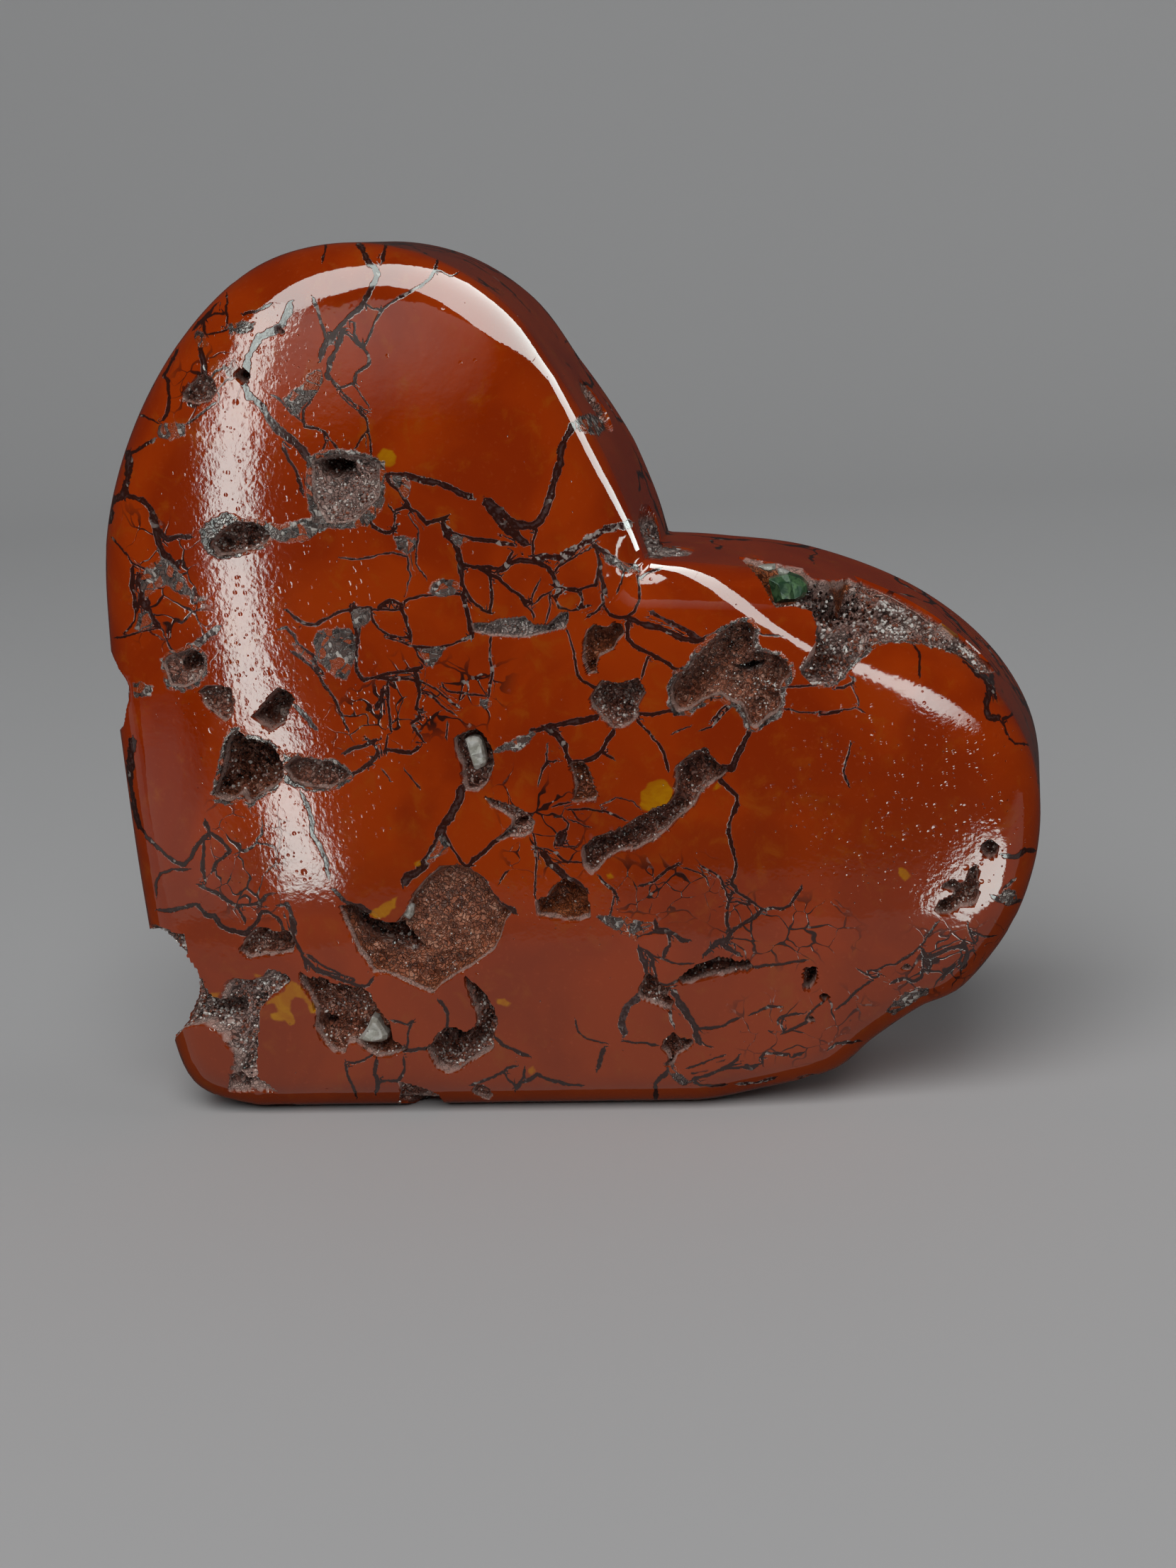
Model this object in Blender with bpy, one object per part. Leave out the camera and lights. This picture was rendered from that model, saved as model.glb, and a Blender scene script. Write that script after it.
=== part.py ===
# A heart cut and polished from red brecciated jasper, standing on one straight side of the heart.
# Units: metres, +Z up. The polished front face looks towards -Y and the base is at Z = 0.
# The origin is at the middle of the stone's box, on the surface it stands on.
import math
import bpy
import bmesh
from mathutils import Matrix, Vector, noise

for old_thing in list(bpy.data.objects):
    bpy.data.objects.remove(old_thing)

MM = 0.001

# Driving dimensions of the polished body, in millimetres.
THICKNESS = 27.0
EDGE_RADIUS = 4.0
FACE_CROWN = 1.5
CROWN_POWER = 4
FACE_CENTRE = (-3.4, 35.0)

# Outline of the heart seen from the front (x, z): the notch first, then round by the upper lobe,
# the long left side, the blunt tip, the straight base and the right lobe.
NOTCH = (7.6, 47.7)
UPPER_LOBE_AND_LEFT_SIDE = [
    (6.6, 51.6), (4.4, 57.4), (1.2, 63.5), (-2.8, 69.5), (-9.0, 73.8), (-16.4, 75.3),
    (-23.9, 73.7), (-30.5, 68.4), (-35.7, 60.8), (-38.9, 52.0), (-39.6, 42.0),
    (-39.4, 31.0), (-38.9, 20.0), (-37.9, 9.5), (-35.9, 2.4)]
BASE_LEFT = (-29.9, 0.0)
BASE_RIGHT = (9.6, 0.0)
RIGHT_LOBE = [
    (14.6, 0.9), (21.4, 2.6), (25.0, 5.4), (29.0, 8.1), (33.0, 10.1), (37.4, 15.9), (39.6, 23.0),
    (39.1, 30.2), (35.4, 36.7), (28.9, 42.1), (20.3, 45.8), (12.4, 47.2)]

# The upper lobe narrows towards the back: how much, and the heights between which it sets in.
BACK_TAPER = 0.6
TAPER_HEIGHTS = (56.0, 64.0)
STEPS_PER_SPAN = 3
BASE_STEPS = 8
BASE_LEAD = 6.0
EDGE_ANGLES = (90.0, 60.0, 30.0, 0.0)
INNER_RINGS = (0.72, 0.35)

# Hollows that the polished front face opens: x, z, half width, half height, depth, turn in degrees.
# Each hollow is one or more rounded lumps taken out of the stone.
FRONT_HOLLOWS = {
    "square_pit": [(-16.2, 55.2, 2.9, 2.9, 2.2, 0), (-17.3, 57.0, 1.5, 0.9, 5.5, 10)],
    "oval_pit": [(-26.1, 51.5, 2.7, 1.2, 2.8, 8)],
    "lobe_hole": [(-24.7, 65.0, 0.8, 0.8, 3.0, 0)],
    "shoulder_pit": [(-28.3, 64.1, 1.5, 1.2, 2.0, 20)],
    "edge_pit": [(-31.7, 41.3, 1.8, 2.0, 3.2, 0)],
    "shallow_pit": [(-28.7, 37.5, 1.6, 1.7, 1.6, 0)],
    "deep_pit": [(-24.4, 37.2, 1.6, 2.0, 4.0, -30)],
    "triangle_pit": [(-27.4, 31.4, 2.8, 3.3, 4.6, -20), (-21.9, 30.8, 2.9, 1.0, 2.2, -8)],
    "pellet_pit": [(-7.1, 32.5, 1.7, 2.4, 2.6, 0)],
    "great_hollow": [(-9.7, 18.3, 4.9, 4.8, 3.4, 0), (-16.5, 17.2, 3.4, 2.2, 5.6, -35),
                     (-13.3, 14.0, 3.6, 2.3, 4.4, -30)],
    "left_hollow": [(-26.9, 15.6, 2.4, 1.9, 2.2, -20)],
    "chip_hollow": [(-20.5, 10.8, 3.0, 2.5, 3.0, -35), (-17.7, 8.1, 2.5, 2.2, 4.2, 0)],
    "crescent_hollow": [(-10.1, 6.2, 3.1, 1.7, 3.8, 15), (-7.3, 9.6, 1.3, 3.0, 3.4, -12)],
    "centre_hollow": [(4.9, 41.2, 2.1, 1.5, 2.2, 15), (3.6, 38.6, 1.0, 2.6, 2.6, 0),
                      (5.1, 35.7, 1.8, 2.0, 3.6, 0)],
    "right_hollow": [(17.3, 37.2, 2.1, 3.4, 4.0, -8), (16.1, 38.5, 1.5, 0.9, 6.2, 0),
                     (12.1, 39.2, 2.9, 2.0, 3.4, 35), (14.7, 41.8, 2.0, 1.5, 3.0, 10)],
    "channel": [(7.7, 26.4, 3.3, 1.4, 3.2, 26), (3.1, 24.3, 2.3, 1.0, 2.2, 22),
                (11.9, 29.2, 2.6, 1.6, 3.2, 42)],
    "small_triangle_pit": [(-0.5, 19.4, 2.4, 1.9, 2.8, 0)],
    "slit": [(11.7, 12.8, 3.5, 1.0, 2.8, 15)],
    "key_hole": [(20.3, 11.8, 0.7, 1.2, 3.2, 0)],
    "low_pit": [(6.9, 10.8, 1.6, 1.1, 2.2, -30)],
    "base_pit": [(8.7, 6.2, 1.7, 1.1, 2.2, -40)],
    "lobe_eye": [(35.5, 22.9, 0.8, 0.8, 3.0, 0)],
    "lobe_pit": [(32.9, 18.6, 1.9, 1.3, 2.8, 20), (34.1, 20.3, 0.9, 1.5, 2.2, 0)]}

# Hollows on the back face, which the photograph does not show, in the same form.
BACK_HOLLOWS = {
    "back_pit_1": [(-22.0, 56.0, 3.2, 2.0, 3.0, 30)],
    "back_pit_2": [(-30.5, 33.0, 2.0, 3.4, 3.2, 15)],
    "back_pit_3": [(-6.0, 30.0, 3.6, 1.6, 3.0, -25), (-10.5, 32.4, 2.0, 1.4, 2.4, 0)],
    "back_pit_4": [(16.0, 24.0, 2.6, 3.2, 3.4, 20)],
    "back_pit_5": [(-14.0, 12.0, 3.8, 2.4, 3.6, 10)],
    "back_pit_6": [(27.0, 34.5, 2.4, 1.6, 2.4, -35)]}

# Hollows in the edge of the stone: centre x, y, z, then half sizes along x, y and z.
EDGE_HOLLOWS = {
    "groove": [(24.5, -7.4, 43.6, 4.3, 4.8, 4.4), (30.1, -5.6, 41.2, 3.8, 3.6, 3.4),
               (22.7, -13.0, 39.8, 2.7, 3.6, 2.8), (19.3, -7.6, 45.4, 3.2, 3.8, 3.0),
               (34.3, -4.2, 38.0, 2.8, 2.5, 2.6)],
    "base_notch": [(-14.3, -11.0, 0.4, 2.0, 3.4, 1.7)],
    "flank_hollow": [(3.1, 0.5, 60.2, 1.7, 2.8, 3.4)],
    "left_dent": [(-40.9, -8.0, 38.2, 3.8, 12.0, 3.8)],
    "corner_hollow": [(-32.4, -12.7, 9.8, 3.3, 4.4, 3.9), (-36.2, -12.6, 11.8, 2.8, 4.6, 4.4),
                      (-40.4, -6.0, 13.4, 6.8, 13.0, 3.9), (-40.4, -7.0, 10.2, 6.3, 12.0, 4.0),
                      (-29.9, -12.6, 3.6, 1.5, 6.0, 4.8)],
    "tip_gap": [(-30.3, -11.0, 0.8, 3.7, 6.6, 2.8)],
    "low_edge_dent": [(19.4, -12.0, 1.3, 1.8, 4.0, 1.6)],
    "back_edge_hollow": [(-33.3, 6.0, 65.2, 2.6, 3.0, 2.6)]}

# Crystal crusts: the hollow that each lines, and how many of its lumps the crust covers.
CRUSTS = {
    "square_pit": 1, "oval_pit": 1, "triangle_pit": 1, "great_hollow": 3,
    "crescent_hollow": 1, "corner_hollow": 4, "right_hollow": 1, "channel": 1, "groove": 3,
    "back_pit_1": 1, "back_pit_4": 1, "back_pit_5": 1}
CRUST_GAP = 0.35
CRUST_THICKNESS = 0.75
CRUST_BELOW_SURFACE = 0.7
CRUST_ROUGHNESS = 0.25
CRUST_GRAIN = 9.0

# A lump is a rounded form with coarse facets, and with fine ones where it is wider than this.
COARSE_LUMP = 2.5
COARSE, FINE = 1, 2
# Facets cut inside a round form, so the coarser lumps are made larger to keep the hollow's size.
LUMP_RADIUS = {COARSE: 1.24, FINE: 1.12}
# How far a lump swells and shrinks round its shape, and how quickly that changes round it.
LUMP_SWELL = 0.16
LUMP_SWELL_GRAIN = 1.7
LEAST_HALF_SIZE = 0.1

# A chip is a block, uneven by this share, whose edges are cut back by a share of its least size.
CHIP_UNEVENNESS = 0.25
CHIP_GRAIN = 3.0
CHIP_EDGE_CUT = 0.22
CHIP_CLEARANCE = 0.45
CHIP_SEAT_SHARE = 0.72

# Edges of the stone and the crusts sharper than this many degrees stay crisp, the rest is smooth.
CRISP_ANGLE = 40.0

# Loose chips lodged in the hollows: centre x, y, z, sizes along x, y and z, turn about Y in
# degrees, and which stone it is.
CHIPS = {
    "green_chip": (19.9, -8.6, 44.6, 2.9, 2.4, 2.3, 8, "green"),
    "white_sliver_1": (18.3, -8.2, 46.4, 1.2, 1.0, 0.5, 5, "white"),
    "white_sliver_2": (20.1, -7.6, 46.3, 1.7, 0.9, 0.5, -22, "white"),
    "white_pellet": (-7.2, -12.7, 32.5, 1.4, 1.3, 2.7, -8, "white"),
    "white_chip": (-17.8, -11.6, 8.3, 2.5, 1.8, 2.3, 25, "white"),
    "quartz_bit_1": (-13.4, -12.8, 22.4, 1.1, 0.9, 1.0, 20, "white"),
    "quartz_bit_2": (-14.5, -12.5, 19.3, 2.0, 1.3, 2.1, -30, "white")}
# Chips that need a seat of their own in the stone, and the hollow that the seat opens into.
CHIP_SEATS = {"quartz_bit_1": "quartz_bit_seat", "quartz_bit_2": "great_hollow"}


def make_material(name, colour, roughness):
    """Plain Principled material with the colour seen in the photograph."""
    material = bpy.data.materials.new(name)
    material.use_nodes = True
    shader = material.node_tree.nodes["Principled BSDF"]
    shader.inputs["Base Color"].default_value = (*colour, 1.0)
    shader.inputs["Roughness"].default_value = roughness
    shader.inputs["Metallic"].default_value = 0.0
    return material


def curve_through(points, before, after):
    """Catmull-Rom points through a run, with one neighbour point given beyond each end."""
    run = [Vector(p) for p in (before, *points, after)]
    curve = []
    for p0, p1, p2, p3 in zip(run, run[1:], run[2:], run[3:]):
        for step in range(STEPS_PER_SPAN):
            t = step / STEPS_PER_SPAN
            curve.append(0.5 * (2 * p1 + (p2 - p0) * t + (2 * p0 - 5 * p1 + 4 * p2 - p3) * t * t
                                + (3 * p1 - p0 - 3 * p2 + p3) * t ** 3))
    curve.append(run[-2])
    return curve


def mirrored_end(end, neighbour):
    """Point beyond the end of a run, so that the curve leaves it straight."""
    return tuple(2 * a - b for a, b in zip(end, neighbour))


def heart_outline():
    """Closed outline, anticlockwise from the notch as the viewer sees it."""
    left = [NOTCH, *UPPER_LOBE_AND_LEFT_SIDE, BASE_LEFT]
    right = [BASE_RIGHT, *RIGHT_LOBE, NOTCH]
    start, end = Vector(BASE_LEFT), Vector(BASE_RIGHT)
    lead = Vector((BASE_LEAD, 0.0))
    outline = curve_through(left, mirrored_end(left[0], left[1]), start + lead)
    outline += [start.lerp(end, step / BASE_STEPS) for step in range(1, BASE_STEPS)]
    outline += curve_through(right, end - lead, mirrored_end(right[-1], right[-2]))[:-1]
    return outline


OUTLINE = heart_outline()
CENTRE = Vector(FACE_CENTRE)


def reach(x, z):
    """Distance from the face centre as a share of the distance to the outline that way."""
    ray = Vector((x, z)) - CENTRE
    if ray.length == 0.0:
        return 0.0
    for a, b in zip(OUTLINE, OUTLINE[1:] + OUTLINE[:1]):
        side_a = ray.x * (a - CENTRE).y - ray.y * (a - CENTRE).x
        side_b = ray.x * (b - CENTRE).y - ray.y * (b - CENTRE).x
        if side_a <= 0.0 < side_b:
            crossing = a.lerp(b, side_a / (side_a - side_b)) - CENTRE
            return ray.length / crossing.length
    return 1.0


def crown_drop(x, z):
    """How far the domed face lies below its highest point."""
    return FACE_CROWN * min(reach(x, z), 1.0) ** CROWN_POWER


def inward_normals():
    """Direction into the stone at each point of the outline."""
    count = len(OUTLINE)
    normals = []
    for i, point in enumerate(OUTLINE):
        before = (point - OUTLINE[i - 1]).normalized()
        after = (OUTLINE[(i + 1) % count] - point).normalized()
        tangent = (before + after).normalized()
        normals.append(Vector((-tangent.y, tangent.x)))
    return normals


def taper(height):
    """How far the outline is drawn in at the back, at this height."""
    low, high = TAPER_HEIGHTS
    return BACK_TAPER * min(max((height - low) / (high - low), 0.0), 1.0)


def body_stations(inset, side):
    """Loops of one half of the body, from the face centre out to the wall."""
    normals = inward_normals()
    rim = [p + n * taper(p.y) for p, n in zip(OUTLINE, normals)] if side > 0 else OUTLINE
    shoulder = [p + n * (EDGE_RADIUS + inset) for p, n in zip(rim, normals)]
    stations = [([CENTRE + (p - CENTRE) * ring for p in shoulder], 0.0) for ring in INNER_RINGS[::-1]]
    for angle in EDGE_ANGLES:
        step_in = inset + EDGE_RADIUS * (1 - math.cos(math.radians(angle)))
        drop = EDGE_RADIUS * (1 - math.sin(math.radians(angle)))
        stations.append(([p + n * step_in for p, n in zip(rim, normals)], drop))
    return stations


def build_body(name, inset=0.0):
    """The polished heart before its hollows: domed faces, rounded edges, flat base.

    An inset gives the same form with its whole surface moved in by that much.
    """
    loops = []
    for side in (-1, 1):
        rows = []
        for points, drop in body_stations(inset, side):
            level = THICKNESS / 2 - inset - drop
            rows.append([(p, side * (level - crown_drop(p.x, p.y))) for p in points])
        loops += rows if side < 0 else rows[::-1]
    bm = bmesh.new()
    previous = [bm.verts.new(Vector((p.x, y, p.y)) * MM) for p, y in loops[0]]
    bm.faces.new(previous)
    edges = list(bm.edges)
    for row in loops[1:]:
        extruded = bmesh.ops.extrude_edge_only(bm, edges=edges)["geom"]
        edges = [g for g in extruded if isinstance(g, bmesh.types.BMEdge)]
        fresh = {g for g in extruded if isinstance(g, bmesh.types.BMVert)}
        loop = [next(e.other_vert(v) for e in v.link_edges if e.other_vert(v) in fresh)
                for v in previous]
        for vert, (point, y) in zip(loop, row):
            vert.co = Vector((point.x, y, point.y)) * MM
        previous = loop
    bm.faces.new(previous)
    bmesh.ops.triangulate(bm, faces=bm.faces)
    bmesh.ops.recalc_face_normals(bm, faces=bm.faces)
    return link_mesh(bm, name)


def link_mesh(bm, name, crisp=CRISP_ANGLE):
    """Turn the bmesh into an object of the scene, smooth but for its crisp edges."""
    mesh = bpy.data.meshes.new(name)
    bm.to_mesh(mesh)
    bm.free()
    mesh.shade_smooth()
    mesh.set_sharp_from_angle(angle=math.radians(crisp))
    thing = bpy.data.objects.new(name, mesh)
    bpy.context.collection.objects.link(thing)
    return thing


def build_lump(name, lump, shrink=0.0, detail=None, roughness=0.0):
    """Rough rounded lump: a cutter for a hollow, or one side of the crust that lines it."""
    centre, half_sizes, turn = lump
    detail = detail or lump_detail(half_sizes)
    bm = bmesh.new()
    bmesh.ops.create_icosphere(bm, subdivisions=detail, radius=LUMP_RADIUS[detail])
    seat = Vector(centre)
    turn_matrix = Matrix.Rotation(math.radians(-turn), 3, "Y")
    for vert in bm.verts:
        direction = vert.co.normalized()
        swell = vert.co.length + LUMP_SWELL * noise.noise(direction * LUMP_SWELL_GRAIN + seat)
        swell += roughness * noise.noise(direction * CRUST_GRAIN + seat)
        local = Vector([along * max(half * swell - shrink, LEAST_HALF_SIZE)
                        for along, half in zip(direction, half_sizes)])
        vert.co = (seat + turn_matrix @ local) * MM
    return link_mesh(bm, name)


def lump_detail(half_sizes):
    """Facet level of a lump, from the middle one of its three half sizes."""
    return COARSE if sorted(half_sizes)[1] < COARSE_LUMP else FINE


def face_height(x, z):
    """Distance of the domed front face from the middle plane, with its rounded edge."""
    near = min((Vector((x, z)) - p).length for p in OUTLINE)
    inset = min(near, EDGE_RADIUS)
    edge = EDGE_RADIUS - math.sqrt(EDGE_RADIUS ** 2 - (EDGE_RADIUS - inset) ** 2)
    return THICKNESS / 2 - crown_drop(x, z) - edge


def hollow_lumps():
    """Every hollow as a list of (centre, half sizes, turn)."""
    hollows = {}
    for side, group in ((-1, FRONT_HOLLOWS), (1, BACK_HOLLOWS)):
        for name, lumps in group.items():
            hollows[name] = [((x, side * face_height(x, z), z), (wide, depth, high), turn)
                             for x, z, wide, high, depth, turn in lumps]
    for name, lumps in EDGE_HOLLOWS.items():
        hollows[name] = [((x, y, z), (sx, sy, sz), 0) for x, y, z, sx, sy, sz in lumps]
    for chip, hollow in CHIP_SEATS.items():
        x, y, z, *sizes, turn, _ = CHIPS[chip]
        seat = tuple(CHIP_SEAT_SHARE * size + CHIP_CLEARANCE for size in sizes)
        hollows.setdefault(hollow, []).append(((x, y, z), seat, turn))
    return hollows


def boolean(target, cutter, operation):
    """Exact Boolean that stays on its object as a modifier."""
    modifier = target.modifiers.new(operation.title(), "BOOLEAN")
    modifier.operation = operation
    modifier.solver = "EXACT"
    modifier.object = cutter


def as_cutter(thing):
    """Keep an object out of the finished model: it only shapes others."""
    thing.hide_render = True
    thing.display_type = "WIRE"
    return thing


def build_crust(hollow, lumps, lined, inner_body):
    """Crust of small crystals that lines a hollow: an even shell with a rough inner face.

    Only the first lumps are lined; the others are left clear.
    """
    shells = [build_lump(f"{hollow}_outer_{i}", lump, CRUST_GAP)
              for i, lump in enumerate(lumps[:lined])]
    cores = [build_lump(f"{hollow}_inner_{i}", lump, CRUST_GAP + CRUST_THICKNESS, FINE,
                        CRUST_ROUGHNESS)
             for i, lump in enumerate(lumps[:lined])]
    cores += [build_lump(f"{hollow}_clear_{i}", lump, -CRUST_GAP, FINE)
              for i, lump in enumerate(lumps[lined:])]
    crust = shells[0]
    crust.name = hollow + "_druse"
    for shell in shells[1:]:
        boolean(crust, as_cutter(shell), "UNION")
    boolean(crust, inner_body, "INTERSECT")
    for core in cores:
        boolean(crust, as_cutter(core), "DIFFERENCE")
    return crust


def build_chip(name, x, y, z, wide, deep, high, turn):
    """Small broken chip of stone: a block with its corners and edges knocked off."""
    bm = bmesh.new()
    bmesh.ops.create_cube(bm, size=1.0)
    for vert in bm.verts:
        vert.co *= 1.0 + CHIP_UNEVENNESS * noise.noise(vert.co * CHIP_GRAIN + Vector((x, y, z)))
        vert.co = Vector((vert.co.x * wide, vert.co.y * deep, vert.co.z * high)) * MM
    bmesh.ops.bevel(bm, geom=list(bm.edges), offset=CHIP_EDGE_CUT * min(wide, deep, high) * MM,
                    segments=1, profile=0.5, affect="EDGES", material=-1)
    place = Matrix.Translation(Vector((x, y, z)) * MM) @ Matrix.Rotation(math.radians(-turn), 4, "Y")
    bmesh.ops.transform(bm, matrix=place, verts=bm.verts)
    bmesh.ops.recalc_face_normals(bm, faces=bm.faces)
    return link_mesh(bm, name, crisp=0.0)


def build_all():
    jasper = make_material("polished_jasper", (0.30, 0.045, 0.012), 0.15)
    druse = make_material("quartz_druse", (0.16, 0.09, 0.07), 0.5)
    chips = {"green": make_material("green_stone", (0.03, 0.10, 0.05), 0.25),
             "white": make_material("white_stone", (0.55, 0.55, 0.50), 0.45)}

    heart = build_body("jasper_heart")
    heart.data.materials.append(jasper)
    hollows = hollow_lumps()
    for name, lumps in hollows.items():
        for i, lump in enumerate(lumps):
            boolean(heart, as_cutter(build_lump(f"{name}_cutter_{i}", lump)), "DIFFERENCE")

    inner_body = as_cutter(build_body("crust_limit", CRUST_BELOW_SURFACE))
    for hollow, lined in CRUSTS.items():
        build_crust(hollow, hollows[hollow], lined, inner_body).data.materials.append(druse)

    for name, (x, y, z, wide, deep, high, turn, stone) in CHIPS.items():
        build_chip(name, x, y, z, wide, deep, high, turn).data.materials.append(chips[stone])


build_all()
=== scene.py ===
import math
import bmesh
import bpy
import numpy as np
from mathutils import Matrix, Vector, noise


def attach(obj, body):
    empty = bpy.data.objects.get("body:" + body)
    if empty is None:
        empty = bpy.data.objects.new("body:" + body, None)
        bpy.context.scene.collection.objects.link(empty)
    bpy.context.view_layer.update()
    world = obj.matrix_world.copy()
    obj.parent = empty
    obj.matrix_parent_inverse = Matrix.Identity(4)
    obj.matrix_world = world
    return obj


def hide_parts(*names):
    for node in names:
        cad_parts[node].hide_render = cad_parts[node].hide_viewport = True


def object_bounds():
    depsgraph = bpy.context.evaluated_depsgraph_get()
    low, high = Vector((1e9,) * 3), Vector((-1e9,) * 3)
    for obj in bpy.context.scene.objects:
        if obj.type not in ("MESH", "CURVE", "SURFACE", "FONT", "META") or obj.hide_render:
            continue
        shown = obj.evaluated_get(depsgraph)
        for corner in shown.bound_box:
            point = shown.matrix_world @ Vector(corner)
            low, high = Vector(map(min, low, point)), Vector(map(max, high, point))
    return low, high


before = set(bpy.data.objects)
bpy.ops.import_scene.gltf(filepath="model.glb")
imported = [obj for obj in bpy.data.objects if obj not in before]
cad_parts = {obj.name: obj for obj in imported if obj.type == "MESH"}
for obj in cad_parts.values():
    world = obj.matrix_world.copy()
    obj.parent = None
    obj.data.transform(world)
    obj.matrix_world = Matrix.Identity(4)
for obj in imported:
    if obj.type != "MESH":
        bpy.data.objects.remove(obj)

cad_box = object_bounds()

# Camera. It stands in front of the stone, a little to its right and higher than it, and looks down.
# Places read from its frame are pixels of a picture 1659 wide and 2212 high.
MM = 0.001
FRAME_WIDE, FRAME_HIGH = 1659, 2212
FOCAL_PIXELS = 4000.0
SENSOR_HEIGHT = 36.0
CAMERA_PLACE = Vector((39.84, -242.54, 82.0))
LOOK_DOWN, LOOK_LEFT, LEAN = math.radians(12.7), math.radians(9.3), math.radians(-3.8)

forward = Vector((-math.sin(LOOK_LEFT) * math.cos(LOOK_DOWN),
                  math.cos(LOOK_LEFT) * math.cos(LOOK_DOWN), -math.sin(LOOK_DOWN)))
level = Vector((math.cos(LOOK_LEFT), math.sin(LOOK_LEFT), 0.0))
upright = level.cross(forward)
camera_right = level * math.cos(LEAN) + upright * math.sin(LEAN)
camera_up = upright * math.cos(LEAN) - level * math.sin(LEAN)

camera = bpy.data.objects.new("camera", bpy.data.cameras.new("camera"))
camera.data.sensor_fit = "VERTICAL"
camera.data.sensor_height = SENSOR_HEIGHT
camera.data.lens = SENSOR_HEIGHT * FOCAL_PIXELS / FRAME_HIGH
camera.data.clip_start = 0.01
camera.matrix_world = (Matrix.Translation(CAMERA_PLACE * MM)
                       @ Matrix((camera_right, camera_up, -forward)).transposed().to_4x4())
bpy.context.collection.objects.link(camera)
bpy.context.scene.camera = camera


def to_pixels(places):
    """Where places in millimetres show in the camera's frame, and how many pixels a millimetre takes."""
    ray = places - np.array(CAMERA_PLACE)
    depth = ray @ np.array(forward)
    across = FRAME_WIDE / 2 + FOCAL_PIXELS * (ray @ np.array(camera_right)) / depth
    down = FRAME_HIGH / 2 - FOCAL_PIXELS * (ray @ np.array(camera_up)) / depth
    return np.stack([across, down], 1), FOCAL_PIXELS / depth


# Floor: one pale sheet that lies flat under the stone and sweeps up behind it, like studio paper.
# It is matt, takes the stone's soft shadow, and doesn't show in the polish.
FLOOR_HALF_WIDTH, FLOOR_FRONT, FLOOR_BACK, FLOOR_RISE, FLOOR_BEND = 1.6, -1.4, 0.75, 1.5, 0.35
FLOOR_GREY = (0.60, 0.61, 0.62)


def finished_piece(bm, name):
    """Object of what the bmesh holds, linked into the scene."""
    mesh = bpy.data.meshes.new(name)
    bm.to_mesh(mesh)
    bm.free()
    piece = bpy.data.objects.new(name, mesh)
    bpy.context.collection.objects.link(piece)
    return piece


def start_material(name, roughness):
    """New material with this roughness, its node tree and its Principled BSDF."""
    material = bpy.data.materials.new(name)
    material.use_nodes = True
    shader = material.node_tree.nodes["Principled BSDF"]
    shader.inputs["Roughness"].default_value = roughness
    return material, material.node_tree, shader


bm = bmesh.new()
strip = [bm.verts.new((-FLOOR_HALF_WIDTH, FLOOR_FRONT, 0.0)),
         bm.verts.new((FLOOR_HALF_WIDTH, FLOOR_FRONT, 0.0))]
edge = bm.edges.new(strip)
for step in ((0.0, FLOOR_BACK - FLOOR_FRONT, 0.0), (0.0, 0.0, FLOOR_RISE)):
    made = bmesh.ops.extrude_edge_only(bm, edges=[edge])["geom"]
    verts = [g for g in made if isinstance(g, bmesh.types.BMVert)]
    bmesh.ops.translate(bm, verts=verts, vec=step)
    edge = next(g for g in made if isinstance(g, bmesh.types.BMEdge))
corner = [e for e in bm.edges if all(abs(v.co.y - FLOOR_BACK) < 1e-6 and v.co.z < 1e-6 for v in e.verts)]
bmesh.ops.bevel(bm, geom=corner, offset=FLOOR_BEND, segments=24, profile=0.5, affect="EDGES", material=-1)
bmesh.ops.recalc_face_normals(bm, faces=bm.faces)
if sum(f.normal.z for f in bm.faces) < 0.0:
    bmesh.ops.reverse_faces(bm, faces=bm.faces)
floor = finished_piece(bm, "floor")
floor.data.shade_smooth()
paper, tree, shader = start_material("pale_paper", 0.6)
shader.inputs["Base Color"].default_value = (*FLOOR_GREY, 1.0)
shader.inputs["Specular IOR Level"].default_value = 0.0
floor.data.materials.append(paper)
floor.visible_glossy = False

# Light: a dim pale room, soft boxes that light the matt surfaces, and low cards that only show as gloss on
# the polish. Each panel runs from one place to another, in millimetres; then its width, its glow and what
# it shows in. All face the stone's middle, but the cards, which lie flat.
ROOM_GREY, ROOM_GLOW = (0.80, 0.79, 0.80), 0.035
PANEL_COLOURS = {"matt": (1.0, 0.99, 0.98), "gloss": (1.0, 1.0, 1.0)}
STONE_MIDDLE = Vector((0.0, 0.0, 38.0))
PANELS = {
    "soft_box": ((-560.0, -820.0, 900.0), (440.0, -820.0, 900.0), 1000.0, 3.0, "matt"),
    "side_fill": ((900.0, -300.0, 500.0), (900.0, 700.0, 500.0), 700.0, 0.5, "matt"),
    "floor_card": ((-260.0, -36.0, 0.5), (260.0, -36.0, 0.5), 48.0, 0.31, "gloss"),
    "floor_card_far": ((-260.0, -72.0, 0.5), (260.0, -72.0, 0.5), 24.0, 0.15, "gloss")}

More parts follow.
